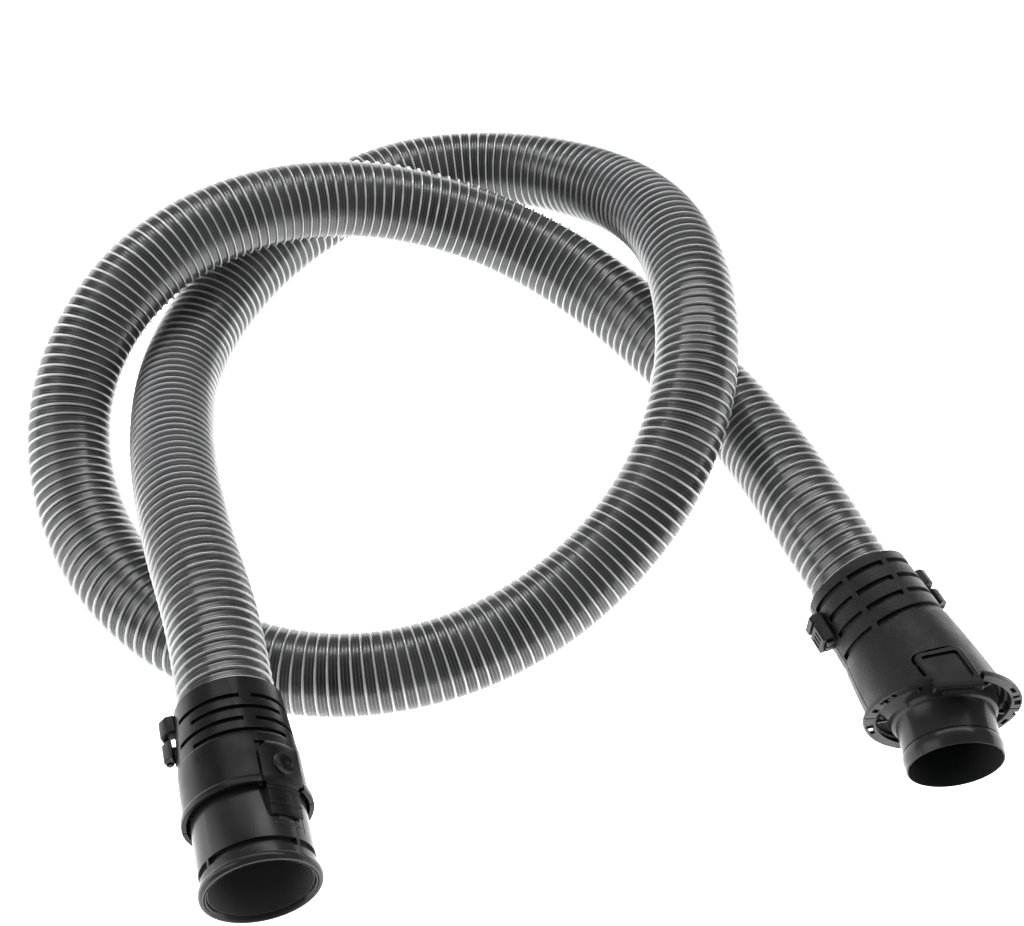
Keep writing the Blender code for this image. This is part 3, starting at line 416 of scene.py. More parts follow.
class Form:
    """A bmesh in a connector's own frame, shaped step by step."""

    def __init__(self) -> None:
        """Start with nothing."""
        self.mesh = bmesh.new()

    @classmethod
    def turned(
            cls, outline: Sequence[Pair], start: float = 0.0, sweep: float = 360.0,
            steps: int = 120) -> "Form":
        """Turn a closed outline of (radius, t) about the axis.

        Args:
            outline: The outline's points, in order.
            start: First phi, in degrees.
            sweep: How far to turn, in degrees.
            steps: Facets in the sweep.

        Returns:
            The turned form.
        """
        form = cls()
        verts = [form.mesh.verts.new((0.0, radius, t)) for radius, t in outline]
        edges = [form.mesh.edges.new((verts[i - 1], verts[i])) for i in range(len(verts))]
        whole = sweep >= 360.0
        geometry = [*verts, *edges]
        if not whole:
            geometry.append(form.mesh.faces.new(verts))
        form.carry(Matrix.Rotation(-math.radians(start), 4, "Z"))
        bmesh.ops.spin(
            form.mesh, geom=geometry, cent=(0, 0, 0), axis=(0, 0, -1), angle=math.radians(sweep),
            steps=steps, use_merge=whole, use_duplicate=False)
        return form.close()

    @classmethod
    def prism(cls, outline: Sequence[Pair], axis: int, low: float, high: float) -> "Form":
        """Extrude a closed outline of two coordinates along the third axis.

        Args:
            outline: Points of the other two coordinates, in order.
            axis: Number of the third axis, 0 to 2.
            low: Where the prism starts on that axis.
            high: Where it ends.

        Returns:
            The prism.
        """
        form = cls()
        verts = []
        for first, second in outline:
            point = [first, second]
            point.insert(axis, low)
            verts.append(form.mesh.verts.new(point))
        face = form.mesh.faces.new(verts)
        grown = bmesh.ops.extrude_face_region(form.mesh, geom=[face])["geom"]
        shift = [0.0, 0.0, 0.0]
        shift[axis] = high - low
        tops = [item for item in grown if isinstance(item, bmesh.types.BMVert)]
        bmesh.ops.translate(form.mesh, verts=tops, vec=shift)
        return form.close()

    @classmethod
    def block(cls, low: Triple, high: Triple) -> "Form":
        """Make a box between two corners."""
        form = cls()
        size = Vector(high) - Vector(low)
        middle = Matrix.Translation((Vector(high) + Vector(low)) / 2)
        bmesh.ops.create_cube(form.mesh, size=1.0, matrix=middle @ Matrix.Diagonal((*size, 1.0)))
        return form.close()

    @classmethod
    def bar(cls, radius: float, start: Triple, end: Triple, sides: int = 24) -> "Form":
        """Make a round bar between two points.

        Args:
            radius: Radius of the bar.
            start: Middle of its first end.
            end: Middle of its last end.
            sides: Facets round it.

        Returns:
            The bar.
        """
        form = cls()
        run = Vector(end) - Vector(start)
        middle = Matrix.Translation((Vector(start) + Vector(end)) / 2)
        place = middle @ run.to_track_quat("Z", "Y").to_matrix().to_4x4()
        bmesh.ops.create_cone(
            form.mesh, cap_ends=True, segments=sides, radius1=radius, radius2=radius,
            depth=run.length, matrix=place)
        return form.close()

    @classmethod
    def ball(cls, radius: float, middle: Triple) -> "Form":
        """Make a ball about a point."""
        form = cls()
        bmesh.ops.create_uvsphere(
            form.mesh, u_segments=48, v_segments=32, radius=radius, matrix=Matrix.Translation(middle))
        return form.close()

    def close(self) -> "Form":
        """Weld doubles and turn the faces outwards."""
        bmesh.ops.remove_doubles(self.mesh, verts=self.mesh.verts, dist=0.001 * MM)
        bmesh.ops.recalc_face_normals(self.mesh, faces=self.mesh.faces)
        return self

    def carry(self, matrix: Matrix) -> "Form":
        """Carry every point by a matrix."""
        bmesh.ops.transform(self.mesh, matrix=matrix, verts=self.mesh.verts)
        return self

    def sink(self, chosen: Callable[[float, float, float], bool], depth: float) -> "Form":
        """Push chosen faces towards the axis, with walls round them.

        Args:
            chosen: Says, from radius, phi and t of a face's middle, whether it goes.
            depth: How far; less than zero raises them.

        Returns:
            The same form.
        """
        faces = [face for face in self.mesh.faces if chosen(*polar(face.calc_center_median()))]
        if not faces:
            return self
        grown = bmesh.ops.extrude_face_region(self.mesh, geom=faces)["geom"]
        for vert in (item for item in grown if isinstance(item, bmesh.types.BMVert)):
            out = Vector((vert.co.x, vert.co.y, 0.0)).normalized()
            vert.co -= depth * out
        lids = [face for face in faces if face.is_valid]
        bmesh.ops.delete(self.mesh, geom=lids, context="FACES")
        return self

    def soften(self, width: float, segments: int = 2, angle: float = 32.0) -> "Form":
        """Round every edge sharper than an angle.

        Args:
            width: Width of the rounding.
            segments: Facets of the rounding.
            angle: Least angle between the faces, in degrees.

        Returns:
            The same form.
        """
        sharp = [edge for edge in self.mesh.edges
                 if edge.is_manifold and edge.calc_face_angle(0.0) > math.radians(angle)]
        bmesh.ops.bevel(
            self.mesh, geom=sharp, offset=width, offset_type="OFFSET", affect="EDGES", segments=segments,
            profile=0.5, material=-1, clamp_overlap=True)
        return self

    def piece(self, name: str, sharp: float = 38.0) -> bpy.types.Object:
        """Make the form an object.

        Args:
            name: The object's name.
            sharp: Angle in degrees from which an edge is shaded as sharp.

        Returns:
            The object, at the origin.
        """
        self.close()
        data = bpy.data.meshes.new(name)
        self.mesh.to_mesh(data)
        self.mesh.free()
        data.shade_smooth()
        data.set_sharp_from_angle(angle=math.radians(sharp))
        obj = bpy.data.objects.new(name, data)
        bpy.context.scene.collection.objects.link(obj)
        return obj


def change(obj: bpy.types.Object, form: Form, cut: Cut) -> None:
    """Cut a form out of an object, or join it on, for good.

    Args:
        obj: The object.
        form: The helper form, used up.
        cut: What to do with it.
    """
    helper = form.piece(obj.name + "_helper")
    modifier = obj.modifiers.new(cut.name, "BOOLEAN")
    modifier.operation = cut.value
    modifier.solver = "EXACT"
    modifier.object = helper
    bpy.context.view_layer.update()
    made = bpy.data.meshes.new_from_object(obj.evaluated_get(bpy.context.evaluated_depsgraph_get()))
    obj.modifiers.remove(modifier)
    before, obj.data = obj.data, made
    bpy.data.meshes.remove(before)
    bpy.data.objects.remove(helper, do_unlink=True)
    made.shade_smooth()
    made.set_sharp_from_angle(angle=math.radians(38.0))


def settle(
        obj: bpy.types.Object, matrix: Matrix,
        rule: Callable[[Vector], Vector] | None = None) -> bpy.types.Object:
    """Bend an object's mesh by a rule, if there is one, and carry it to its place.

    Args:
        obj: The object, shaped in its connector's frame.
        matrix: The connector's frame.
        rule: The bend.

    Returns:
        The same object.
    """
    if rule is not None:
        for vert in obj.data.vertices:
            vert.co = rule(vert.co)
    obj.data.transform(matrix)
    return obj


class Dresser:
    """Gives finished pieces their body, slot and material."""

    def __init__(self, frame: dict) -> None:
        """Make one material per slot.
        """
        self.nodes = frame["nodes"]
        self.materials = {slot: finish.material() for slot, finish in FINISHES.items()}

    def hand_in(self, obj: bpy.types.Object, body: Body, slot: Slot, *nodes: str) -> bpy.types.Object:
        """Put a new piece on its body in place of CAD nodes.

        Args:
            obj: The piece.
            body: The body that it rides on.
            slot: Its finish.
            *nodes: Nodes that it stands for.

        Returns:
            The piece.
        """
        obj.data.materials.clear()
        obj.data.materials.append(self.materials[slot])
        if slot is not Slot.HOSE:
            weigh = obj.modifiers.new("flat_faces", "WEIGHTED_NORMAL")
            weigh.keep_sharp = True
        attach(obj, body.value)
        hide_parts(*nodes)
        obj.data.calc_loop_triangles()
        LOG.info("%s: %d triangles on %s", obj.name, len(obj.data.loop_triangles), body.value)
        return obj

    def dress(self, slot: Slot, *nodes: str) -> None:
        """Give CAD nodes that stay as they are a full material.

        Args:
            slot: Their finish.
            *nodes: Their names.
        """
        for name in nodes:
            obj = self.nodes[name]
            obj.data.materials.clear()
            obj.data.materials.append(self.materials[slot])
            LOG.info("%s: CAD shape, %s", name, slot.value)


@dataclass
class Hose:
    """The ribbed hose, laid in one loose overhand loop."""

    diameter: float = 43.0 * MM
    rib_height: float = 2.0 * MM
    bore_radius: float = 17.5 * MM
    end_recess: float = 2.0 * MM
    inside_cuff: float = 18.5 * MM
    straight: float = 44.0 * MM
    turns: int = 354
    sides: int = 32
    route: tuple[Triple, ...] = (
        (-0.1922, 0.0870, 1.570), (-0.2062, 0.1340, 1.233), (-0.2162, 0.1830, 0.872),
        (-0.2172, 0.2340, 0.605), (-0.2027, 0.2830, 0.507), (-0.1752, 0.3260, 0.500),
        (-0.1372, 0.3610, 0.500), (-0.0932, 0.3825, 0.500), (-0.0442, 0.3840, 0.547),
        (0.0003, 0.3630, 0.767), (0.0318, 0.3250, 1.163), (0.0483, 0.2780, 1.514),
        (0.0538, 0.2280, 1.622), (0.0483, 0.1780, 1.474), (0.0288, 0.1320, 1.116),
        (-0.0042, 0.0955, 0.733), (-0.0452, 0.0670, 0.542), (-0.0932, 0.0490, 0.500),
        (-0.1432, 0.0470, 0.500), (-0.1917, 0.0630, 0.500), (-0.2322, 0.0950, 0.507),
        (-0.2597, 0.1390, 0.605), (-0.2697, 0.1880, 0.895), (-0.2577, 0.2355, 1.267),
        (-0.2267, 0.2750, 1.563), (-0.1842, 0.3035, 1.616), (-0.1362, 0.3210, 1.442),
        (-0.0872, 0.3260, 1.105), (-0.0392, 0.3165, 0.756), (0.0033, 0.2910, 0.551),
        (0.0393, 0.2530, 0.500), (0.0698, 0.2110, 0.530), (0.0928, 0.1660, 0.686))
    rib_profile: tuple[Pair, ...] = (
        (0.00, 0.0), (0.17, 0.46), (0.33, 0.06), (0.50, 0.46), (0.66, 0.0),
        (0.77, 0.78), (0.84, 1.0), (0.92, 0.72))

    def middle(self) -> np.ndarray:
        """Read the hose's middle line finely.

        Returns:
            Points from the handle connector to the machine connector.
        """
        stations = (self.inside_cuff, self.inside_cuff - self.straight / 2, -self.straight)
        head = [HANDLE_SEAT.on_axis(t) for t in stations]
        tail = [MACHINE_SEAT.on_axis(t) for t in reversed(stations)]
        loop = [(x, y, height * self.diameter) for x, y, height in self.route]
        line = smooth_line(np.array(head + loop + tail))
        line[:, 2] = np.maximum(line[:, 2], self.diameter / 2)
        return line

    def straight_form(self, length: float) -> Form:
        """Shape the hose straight along Z: one spun turn of the rib, copied, welded and trimmed.

        Args:
            length: The hose's length.

        Returns:
            The straight hose with its bore.
        """
        form = Form()
        pitch = length / (self.turns - 2)
        valley = self.diameter / 2 - self.rib_height
        profile = [*self.rib_profile, (1.0, self.rib_profile[0][1])]
        points = [(0.0, valley + rise * self.rib_height, share * pitch) for share, rise in profile]
        verts = [form.mesh.verts.new(point) for point in points]
        edges = [form.mesh.edges.new(pair) for pair in zip(verts, verts[1:])]
        bmesh.ops.spin(
            form.mesh, geom=[*verts, *edges], cent=(0, 0, 0), axis=(0, 0, 1), angle=2 * math.pi,
            dvec=(0.0, 0.0, pitch / self.sides), steps=self.sides, use_merge=False, use_duplicate=False)
        per_turn = len(form.mesh.faces)
        made = 1
        while made < self.turns:
            more = min(made, self.turns - made)
            faces = list(form.mesh.faces)[:more * per_turn]
            geometry = {item for face in faces for item in (*face.verts, *face.edges)}
            copied = bmesh.ops.duplicate(form.mesh, geom=[*faces, *geometry])["geom"]
            copies = [item for item in copied if isinstance(item, bmesh.types.BMVert)]
            bmesh.ops.translate(form.mesh, verts=copies, vec=(0.0, 0.0, made * pitch))
            made += more
        form.close()
        for place, side in ((1.5 * pitch, -1.0), (1.5 * pitch + length, 1.0)):
            geometry = [*form.mesh.verts, *form.mesh.edges, *form.mesh.faces]
            bmesh.ops.bisect_plane(
                form.mesh, geom=geometry, dist=0.001 * MM, plane_co=(0, 0, place), plane_no=(0, 0, side),
                clear_outer=True)
        bmesh.ops.translate(form.mesh, verts=form.mesh.verts, vec=(0.0, 0.0, -1.5 * pitch))
        self.add_bore(form, length)
        return form

    def add_bore(self, form: Form, length: float) -> None:
        """Add the bore's wall and join it to the skin at both ends.

        The wall stops short of the skin's ends: two rings about one middle can't be told apart in winding.

        Args:
            form: The straight skin.
            length: The hose's length.
        """
        skin_ends = [edge for edge in form.mesh.edges if edge.is_boundary]
        tube = bmesh.ops.create_cone(
            form.mesh, cap_ends=False, segments=self.sides,
            radius1=self.bore_radius, radius2=self.bore_radius,
            depth=length - 2 * self.end_recess, matrix=Matrix.Translation((0.0, 0.0, length / 2)))["verts"]
        sides = {edge for vert in tube for edge in vert.link_edges}
        rings = [edge for edge in sides if edge.is_boundary]
        runs = [edge for edge in sides if not edge.is_boundary]
        bmesh.ops.subdivide_edges(form.mesh, edges=runs, cuts=round(length / (12 * MM)))
        for place in (0.0, length):
            near = [edge for edge in (*skin_ends, *rings)
                    if all(abs(vert.co.z - place) < length / 2 for vert in edge.verts)]
            bmesh.ops.bridge_loops(form.mesh, edges=near)
        form.close()

    def build(self, dresser: Dresser) -> None:
        """Args:
            dresser: Gives the piece its finish.
        """
        line = self.middle()
        steps = np.linalg.norm(np.diff(line, axis=0), axis=1)
        run = np.concatenate([[0.0], np.cumsum(steps)])
        length = float(run[-1])
        obj = self.straight_form(length).piece("suction_hose", 180.0)
        points = np.empty(len(obj.data.vertices) * 3)
        obj.data.vertices.foreach_get("co", points)
        points = points.reshape(-1, 3)
        radius = np.hypot(points[:, 0], points[:, 1])
        low = self.diameter / 2 - self.rib_height
        # The rib's height drives the painted shade in the valleys and the painted highlight on the crests.
        rib = obj.data.attributes.new("rib", "FLOAT", "POINT")
        rib.data.foreach_set("value", np.clip((radius - low) / self.rib_height, 0.0, 1.0))
        side, up = travelling_frame(line)
        laid = np.zeros_like(points)
        place = np.clip(points[:, 2], 0.0, length)
        for axis in range(3):
            laid[:, axis] = np.interp(place, run, line[:, axis])
            laid[:, axis] += points[:, 0] * np.interp(place, run, side[:, axis])
            laid[:, axis] += points[:, 1] * np.interp(place, run, up[:, axis])
        obj.data.vertices.foreach_set("co", laid.ravel())
        obj.data.update()
        dresser.hand_in(obj, Body.HOSE, Slot.HOSE, "hose")
        LOG.info("hose length %.4f m", length)


def smooth_line(knots: np.ndarray, per_span: int = 24) -> np.ndarray:
    """Draw the natural cubic curve through points.

    Args:
        knots: The points.
        per_span: Points read between two knots.

    Returns:
        The curve, read finely.
    """
    spans = np.linalg.norm(np.diff(knots, axis=0), axis=1)
    system = np.eye(len(knots))
    right = np.zeros_like(knots)
    slopes = np.diff(knots, axis=0) / spans[:, None]
    for i in range(1, len(knots) - 1):
        system[i, i - 1:i + 2] = spans[i - 1], 2 * (spans[i - 1] + spans[i]), spans[i]
        right[i] = 6 * (slopes[i] - slopes[i - 1])
    bending = np.linalg.solve(system, right)
    read = [knots[0]]
    for i, span in enumerate(spans):
        for b in np.arange(1, per_span + 1) / per_span:
            a = 1.0 - b
            bow = (a ** 3 - a) * bending[i] + (b ** 3 - b) * bending[i + 1]
            read.append(a * knots[i] + b * knots[i + 1] + bow * span ** 2 / 6)
    return np.array(read)


def travelling_frame(line: np.ndarray) -> tuple[np.ndarray, np.ndarray]:
    """Carry two cross directions along a line without twist.

    Args:
        line: The line's points.

    Returns:
        The side direction and the up direction at each point.
    """
    ahead = np.gradient(line, axis=0)
    ahead /= np.linalg.norm(ahead, axis=1)[:, None]
    side = np.zeros_like(line)
    current = Vector((1.0, 0.0, 0.0))
    for i, forward in enumerate(ahead):
        forward = Vector(forward)
        current = (current - current.dot(forward) * forward).normalized()
        side[i] = current
    return side, np.cross(ahead, side)


def swivel_bore(step_radius: float) -> list[Pair]:
    """Inner outline of a cuff, from the step at its inner end back to its rim.

    Args:
        step_radius: Radius beyond the step.

    Returns:
        Points of radius and t.
    """
    wide, seat = 22.3 * MM, 20.8 * MM
    steps = ((32.4, wide), (28.7, wide), (28.7, seat), (26.7, seat), (26.7, wide),
             (20.8, wide), (20.8, seat), (18.8, seat), (18.8, wide), (0.0, wide))
    return [(step_radius, 32.4 * MM)] + [(radius, t * MM) for t, radius in steps]


SLEEVE_OUTLINE = mm(
    (20.4, 18.8), (20.4, 21.1), (21.9, 21.1), (21.9, 24.1), (20.4, 24.1), (20.4, 38.7),
    (17.5, 38.7), (17.5, 18.8))
RING_OUTLINE = mm((21.9, 24.4), (21.9, 26.4), (20.8, 26.4), (20.8, 24.4))
SEAL_OUTLINE = mm((21.9, 29.0), (21.9, 32.1), (21.3, 32.1), (20.8, 31.1), (20.8, 29.0))


@dataclass
class Swivel:
    """Sleeve on the hose's end, slip ring and seal of one connector."""

    prefix: str
    seat: Seat
    body: Body

    def build(self, dresser: Dresser) -> None:
        """Build the three rings.

        Args:
            dresser: Gives the pieces their finish.
        """
        rings = (("hose_sleeve", SLEEVE_OUTLINE, Body.HOSE, Slot.SLEEVE),
                 ("thrust_ring", RING_OUTLINE, self.body, Slot.SLIP_RING),
                 ("seal", SEAL_OUTLINE, self.body, Slot.RUBBER))
        for name, outline, body, slot in rings:
            form = Form.turned(outline, steps=96).soften(0.2 * MM)
            obj = settle(form.piece(self.prefix + "_" + name + "_round"), self.seat.matrix())
            dresser.hand_in(obj, body, slot, self.prefix + "_" + name)


@dataclass
class Cuff:
    """Rows of slots round a connector's cuff."""

    rim_radius: float
    end_radius: float
    rows: tuple[tuple[Pair, ...], ...]
    rim: float
    pitch: float
    end: float
    depth: float = 1.5 * MM
    width: float = 2.1 * MM

    def radius(self, t: float) -> float:
        """Give the cuff's outer radius at t."""
        return self.rim_radius + (self.end_radius - self.rim_radius) * t / self.end

    def row_start(self, row: int) -> float:
        """Give where a row of slots begins."""
        return self.rim + row * self.pitch

    def outline(self) -> list[Pair]:
        """Give the outer outline, with an edge where each row begins and ends."""
        places = [0.0]
        for row in range(len(self.rows)):
            begin = self.row_start(row)
            places += [begin, begin + self.width]
        return [(self.radius(t), t) for t in places]

    def cut(self, form: Form) -> Form:
        """Sink the slots into a shell.

        Args:
            form: The turned shell.

        Returns:
            The same form.
        """
        for row, slots in enumerate(self.rows):
            begin = self.row_start(row)
            end = begin + self.width

            def chosen(radius: float, phi: float, t: float) -> bool:
                """Say whether a face lies in a slot of this row."""
                outside = radius > self.radius(t) - 0.4 * MM and begin < t < end
                return outside and any(low < phi < high or low < phi + 360.0 < high for low, high in slots)

            form.sink(chosen, self.depth)
        return form


@dataclass
class Knuckles:
    """Two faceted hinge knuckles on one side of a cuff."""

    side: int
    centre: float
    root: float
    starts: Pair
    radius: float
    length: float = 9.5 * MM
    hole: float = 1.5 * MM
    chamfer: float = 1.0 * MM
    slope: float = 2.4 * MM
    reach: float = 6.4 * MM

    def add(self, shell: bpy.types.Object, index: int) -> None:
        """Join one knuckle to its shell.

        Args:
            shell: The shell, in the connector's frame.
            index: 0 for the upper shell's knuckle, 1 for the lower shell's.
        """
        begin = self.starts[index]
        end = begin + self.length
        small = self.radius - self.chamfer
        outline = [(self.hole, begin), (small, begin), (self.radius, begin + self.slope),
                   (self.radius, end - self.slope), (small, end), (self.hole, end)]
        axis = self.side * self.centre
        place = Matrix.Translation((axis, 0.0, 0.0)) @ Matrix.Rotation(math.pi / 8, 4, "Z")
        sign = 1 if index == 0 else -1
        near, far = sorted((self.side * self.root, self.side * (self.centre - 2.0 * MM)))
        low, high = sorted((sign * 0.3 * MM, sign * 2.6 * MM))
        web = Form.block((near, low, begin + 0.4 * MM), (far, high, end - 0.4 * MM))
        change(shell, web, Cut.JOIN)
        inner = self.root if index == 0 else self.centre - 2.2 * MM
        outer = self.centre + self.radius
        tab = [(inner, 0.3 * MM), (inner, self.reach), (outer - 3.6 * MM, self.reach),
               (outer - 0.4 * MM, 3.2 * MM), (outer, 0.3 * MM)]
        plate = Form.prism([(self.side * x, y) for x, y in tab], 2, begin + 0.3 * MM, end - 0.3 * MM)
        change(shell, plate.soften(0.8 * MM, 1), Cut.JOIN)
        bore = Form.bar(self.hole, (axis, 0.0, begin - MM), (axis, 0.0, end + MM))
        change(shell, Form.turned(outline, steps=8).carry(place).soften(0.25 * MM, 1, 20.0), Cut.JOIN)
        change(shell, bore, Cut.TAKE)


def halves(outline: Sequence[Pair], shape: Callable[[Form], Form]) -> tuple[Form, Form]:
    """Turn the upper and the lower half of a casing.

    Args:
        outline: The wall's outline.
        shape: What is done to each half after it is turned.

    Returns:
        The upper half and the lower half.
    """
    margin = 0.385
    sweep = 180.0 - 2 * margin
    upper, lower = (shape(Form.turned(outline, start, sweep, 60)) for start in (margin - 90.0, margin + 90.0))
    return upper, lower


HANDLE_ROW_PAIR = (((-60, 16), (26, 80), (120, 196), (206, 260)), ((-40, 61), (140, 241)))
MOUTH_RING_OUTLINE = mm(
    (23.15, 86.9), (25.1, 86.9), (25.45, 87.2), (25.6, 87.9), (25.6, 88.9), (25.4, 89.8), (24.9, 90.4),
    (24.3, 90.6), (23.7, 90.4), (23.4, 90.0), (23.25, 89.8), (23.1, 90.2), (22.85, 90.4), (22.5, 90.2),
    (22.2, 89.6), (21.9, 88.9), (23.15, 88.9))
FINGER_RING_OUTLINE = mm((4.0, -0.6), (4.0, 0.5), (4.3, 0.9), (4.8, 0.9), (5.1, 0.5), (5.1, -0.6))


@dataclass
class HandleConnector:
    """The connector with the press button: casing, socket, mouth ring and button."""

    seat: Seat = HANDLE_SEAT
    cuff: Cuff = field(default_factory=lambda: Cuff(
        23.6 * MM, 25.8 * MM, 2 * HANDLE_ROW_PAIR, rim=9.4 * MM, pitch=6.167 * MM, end=30.9 * MM))
    bore: float = 24.6 * MM
    body_radius: float = 26.1 * MM
    lip_radius: float = 27.8 * MM
    lip_end: float = 56.1 * MM
    socket_radius: float = 24.2 * MM
    socket_bore: float = 21.6 * MM
    band: Pair = (79.6 * MM, 82.9 * MM)
    ridge: Pair = (73.0 * MM, 74.0 * MM)
    button_phi: float = 42.0
    button_from: float = 35.9 * MM
    button_to: float = 55.2 * MM
    button_turn: float = 21.0
    button_low: float = 26.3 * MM
    button_high: float = 28.0 * MM
    ring_t: float = 47.0 * MM
    pin_y: float = 24.3 * MM
    pin_t: float = 45.55 * MM

    def spoke(self) -> Matrix:
        """Give the turn from the connector's frame to the button's."""
        return Matrix.Rotation(-math.radians(self.button_phi), 4, "Z")

    def pin_hole(self) -> Form:
        """Make the hole for the button's pin, in the button's frame."""
        return Form.bar(0.9 * MM, (-9.5 * MM, self.pin_y, self.pin_t), (9.5 * MM, self.pin_y, self.pin_t))

    def build(self, dresser: Dresser) -> None:
        """Build every piece of the connector.

        Args:
            dresser: Gives the pieces their finish.
        """
        self.build_casing(dresser)
        self.build_socket(dresser)
        self.build_mouth_ring(dresser)
        self.build_button(dresser)
        dresser.dress(Slot.SATIN, "handle_hinge_pin")
        dresser.dress(Slot.STEEL, "handle_button_pin", "handle_button_spring")

    def build_casing(self, dresser: Dresser) -> None:
        """Build the two half shells.

        Args:
            dresser: Gives the pieces their finish.
        """
        outline = self.cuff.outline()
        outline += [*mm((25.8, 30.5)), (self.body_radius, 31.2 * MM)]
        outline += [(self.body_radius + (t - 31.2) * 0.018 * MM, t * MM) for t in (36.0, 42.0, 48.0, 52.0)]
        outline += [(27.5 * MM, 52.8 * MM), (self.lip_radius, 53.6 * MM), (self.lip_radius, self.lip_end)]
        under = 25.7 * MM
        outline += [(under, self.lip_end), (under, self.lip_end - 3.0 * MM)]
        outline += [(self.bore, self.lip_end - 4.0 * MM), (self.bore, 43.5 * MM)]
        outline += [*mm((23.5, 43.5), (23.5, 41.1)), (self.bore, 41.1 * MM)]
        outline += swivel_bore(self.bore)
        upper, lower = halves(outline, lambda form: self.cuff.cut(form).soften(0.3 * MM))
        shells = (upper.piece("handle_casing_upper"), lower.piece("handle_casing_lower"))
        ears = Knuckles(-1, 28.07 * MM, 22.8 * MM, (0.6 * MM, 12.6 * MM), 2.6 * MM)
        for index, shell in enumerate(shells):
            ears.add(shell, index)
        seat = mm((25.15, 35.1), (40.0, 35.1), (40.0, 62.0), (25.15, 62.0))
        turn = self.button_turn + 1.5
        window = Form.prism(rounded(*mm((-7.7, 35.3), (7.7, 66.0)), 2.4 * MM), 1, 22.4 * MM, 40.0 * MM)
        hole = self.pin_hole()
        for helper in (Form.turned(seat, -turn, 2 * turn, 30), window, hole):
            change(shells[0], helper.carry(self.spoke()), Cut.TAKE)
        for shell, node in zip(shells, ("handle_upper_shell", "handle_lower_shell")):
            dresser.hand_in(settle(shell, self.seat.matrix()), Body.HANDLE, Slot.SATIN, node)

    def build_socket(self, dresser: Dresser) -> None:
        """Build the socket with its dark band, its slits and the button's pocket.

        Args:
            dresser: Gives the piece its finish.
        """
        outer, bore = self.socket_radius, self.socket_bore
        outline = [(20.8 * MM, 32.7 * MM), (outer, 32.7 * MM), (outer, 40.8 * MM), (23.1 * MM, 40.8 * MM),
                   (23.1 * MM, 43.8 * MM), (outer, 43.8 * MM)]
        for t in (58.0 * MM, 66.0 * MM, *self.ridge, *self.band, 86.6 * MM):
            outline.append((outer, t))
        outline += [(22.85 * MM, 86.6 * MM), (22.85 * MM, 88.6 * MM), (bore, 88.6 * MM)]
        for t in (82.0, 81.0, 73.0, 72.0, 64.0, 63.0):
            outline.append((bore - (0.25 * MM if t in (81.0, 72.0, 63.0) else 0.0), t * MM))
        outline += [(bore, 39.0 * MM), (20.8 * MM, 39.0 * MM)]
        form = Form.turned(outline)

        def in_band(radius: float, phi: float, t: float) -> bool:
            """Say whether a face is in the dark band, between its ribs."""
            rib = min(abs(abs(phi) - 50.0), abs(abs(phi) - 130.0)) < 2.0
            return radius > 23.6 * MM and self.band[0] < t < self.band[1] and not rib

        def on_ridge(radius: float, phi: float, t: float) -> bool:
            """Say whether a face is on the short ridge before the button's catch."""
            return radius > 23.6 * MM and self.ridge[0] < t < self.ridge[1] and 26.0 < phi < 61.0

        form.sink(in_band, 2.0 * MM).sink(on_ridge, -0.4 * MM).soften(0.2 * MM)
        obj = form.piece("handle_socket_tube")
        pocket = Form.block(*mm((-8.4, 22.4, 35.1), (8.4, 40.0, 56.1)))
        slot = Form.block(*mm((-4.1, 18.0, 65.7), (4.1, 30.0, 71.5)))
        wedge = mm((-10.6, 56.0), (-7.6, 56.0), (-8.2, 70.0), (-8.5, 70.0))
        slit = Form.prism(wedge, 1, 21.4 * MM, 30.0 * MM)
        thin = Form.block(*mm((8.3, 21.4, 56.0), (8.8, 30.0, 76.0)))
        for helper in (pocket, slot, slit, thin):
            change(obj, helper.carry(self.spoke()), Cut.TAKE)
        # Marks the bore, where the material paints a paler tone as light inside.
        inside = obj.data.attributes.new("inside", "FLOAT", "POINT")
        for vert, mark in zip(obj.data.vertices, inside.data):
            mark.value = float(polar(vert.co)[0] < bore + 0.1 * MM)
        dresser.hand_in(settle(obj, self.seat.matrix()), Body.HANDLE, Slot.GLOSS, "handle_socket")

    def build_mouth_ring(self, dresser: Dresser) -> None:
        """Build the rounded ring on the socket's mouth, with its thin inner lip.

        Args:
            dresser: Gives the piece its finish.
        """
        form = Form.turned(MOUTH_RING_OUTLINE, steps=144)
        obj = settle(form.piece("handle_mouth_bead", 50.0), self.seat.matrix())
        dresser.hand_in(obj, Body.HANDLE, Slot.GLOSS, "handle_mouth_ring")

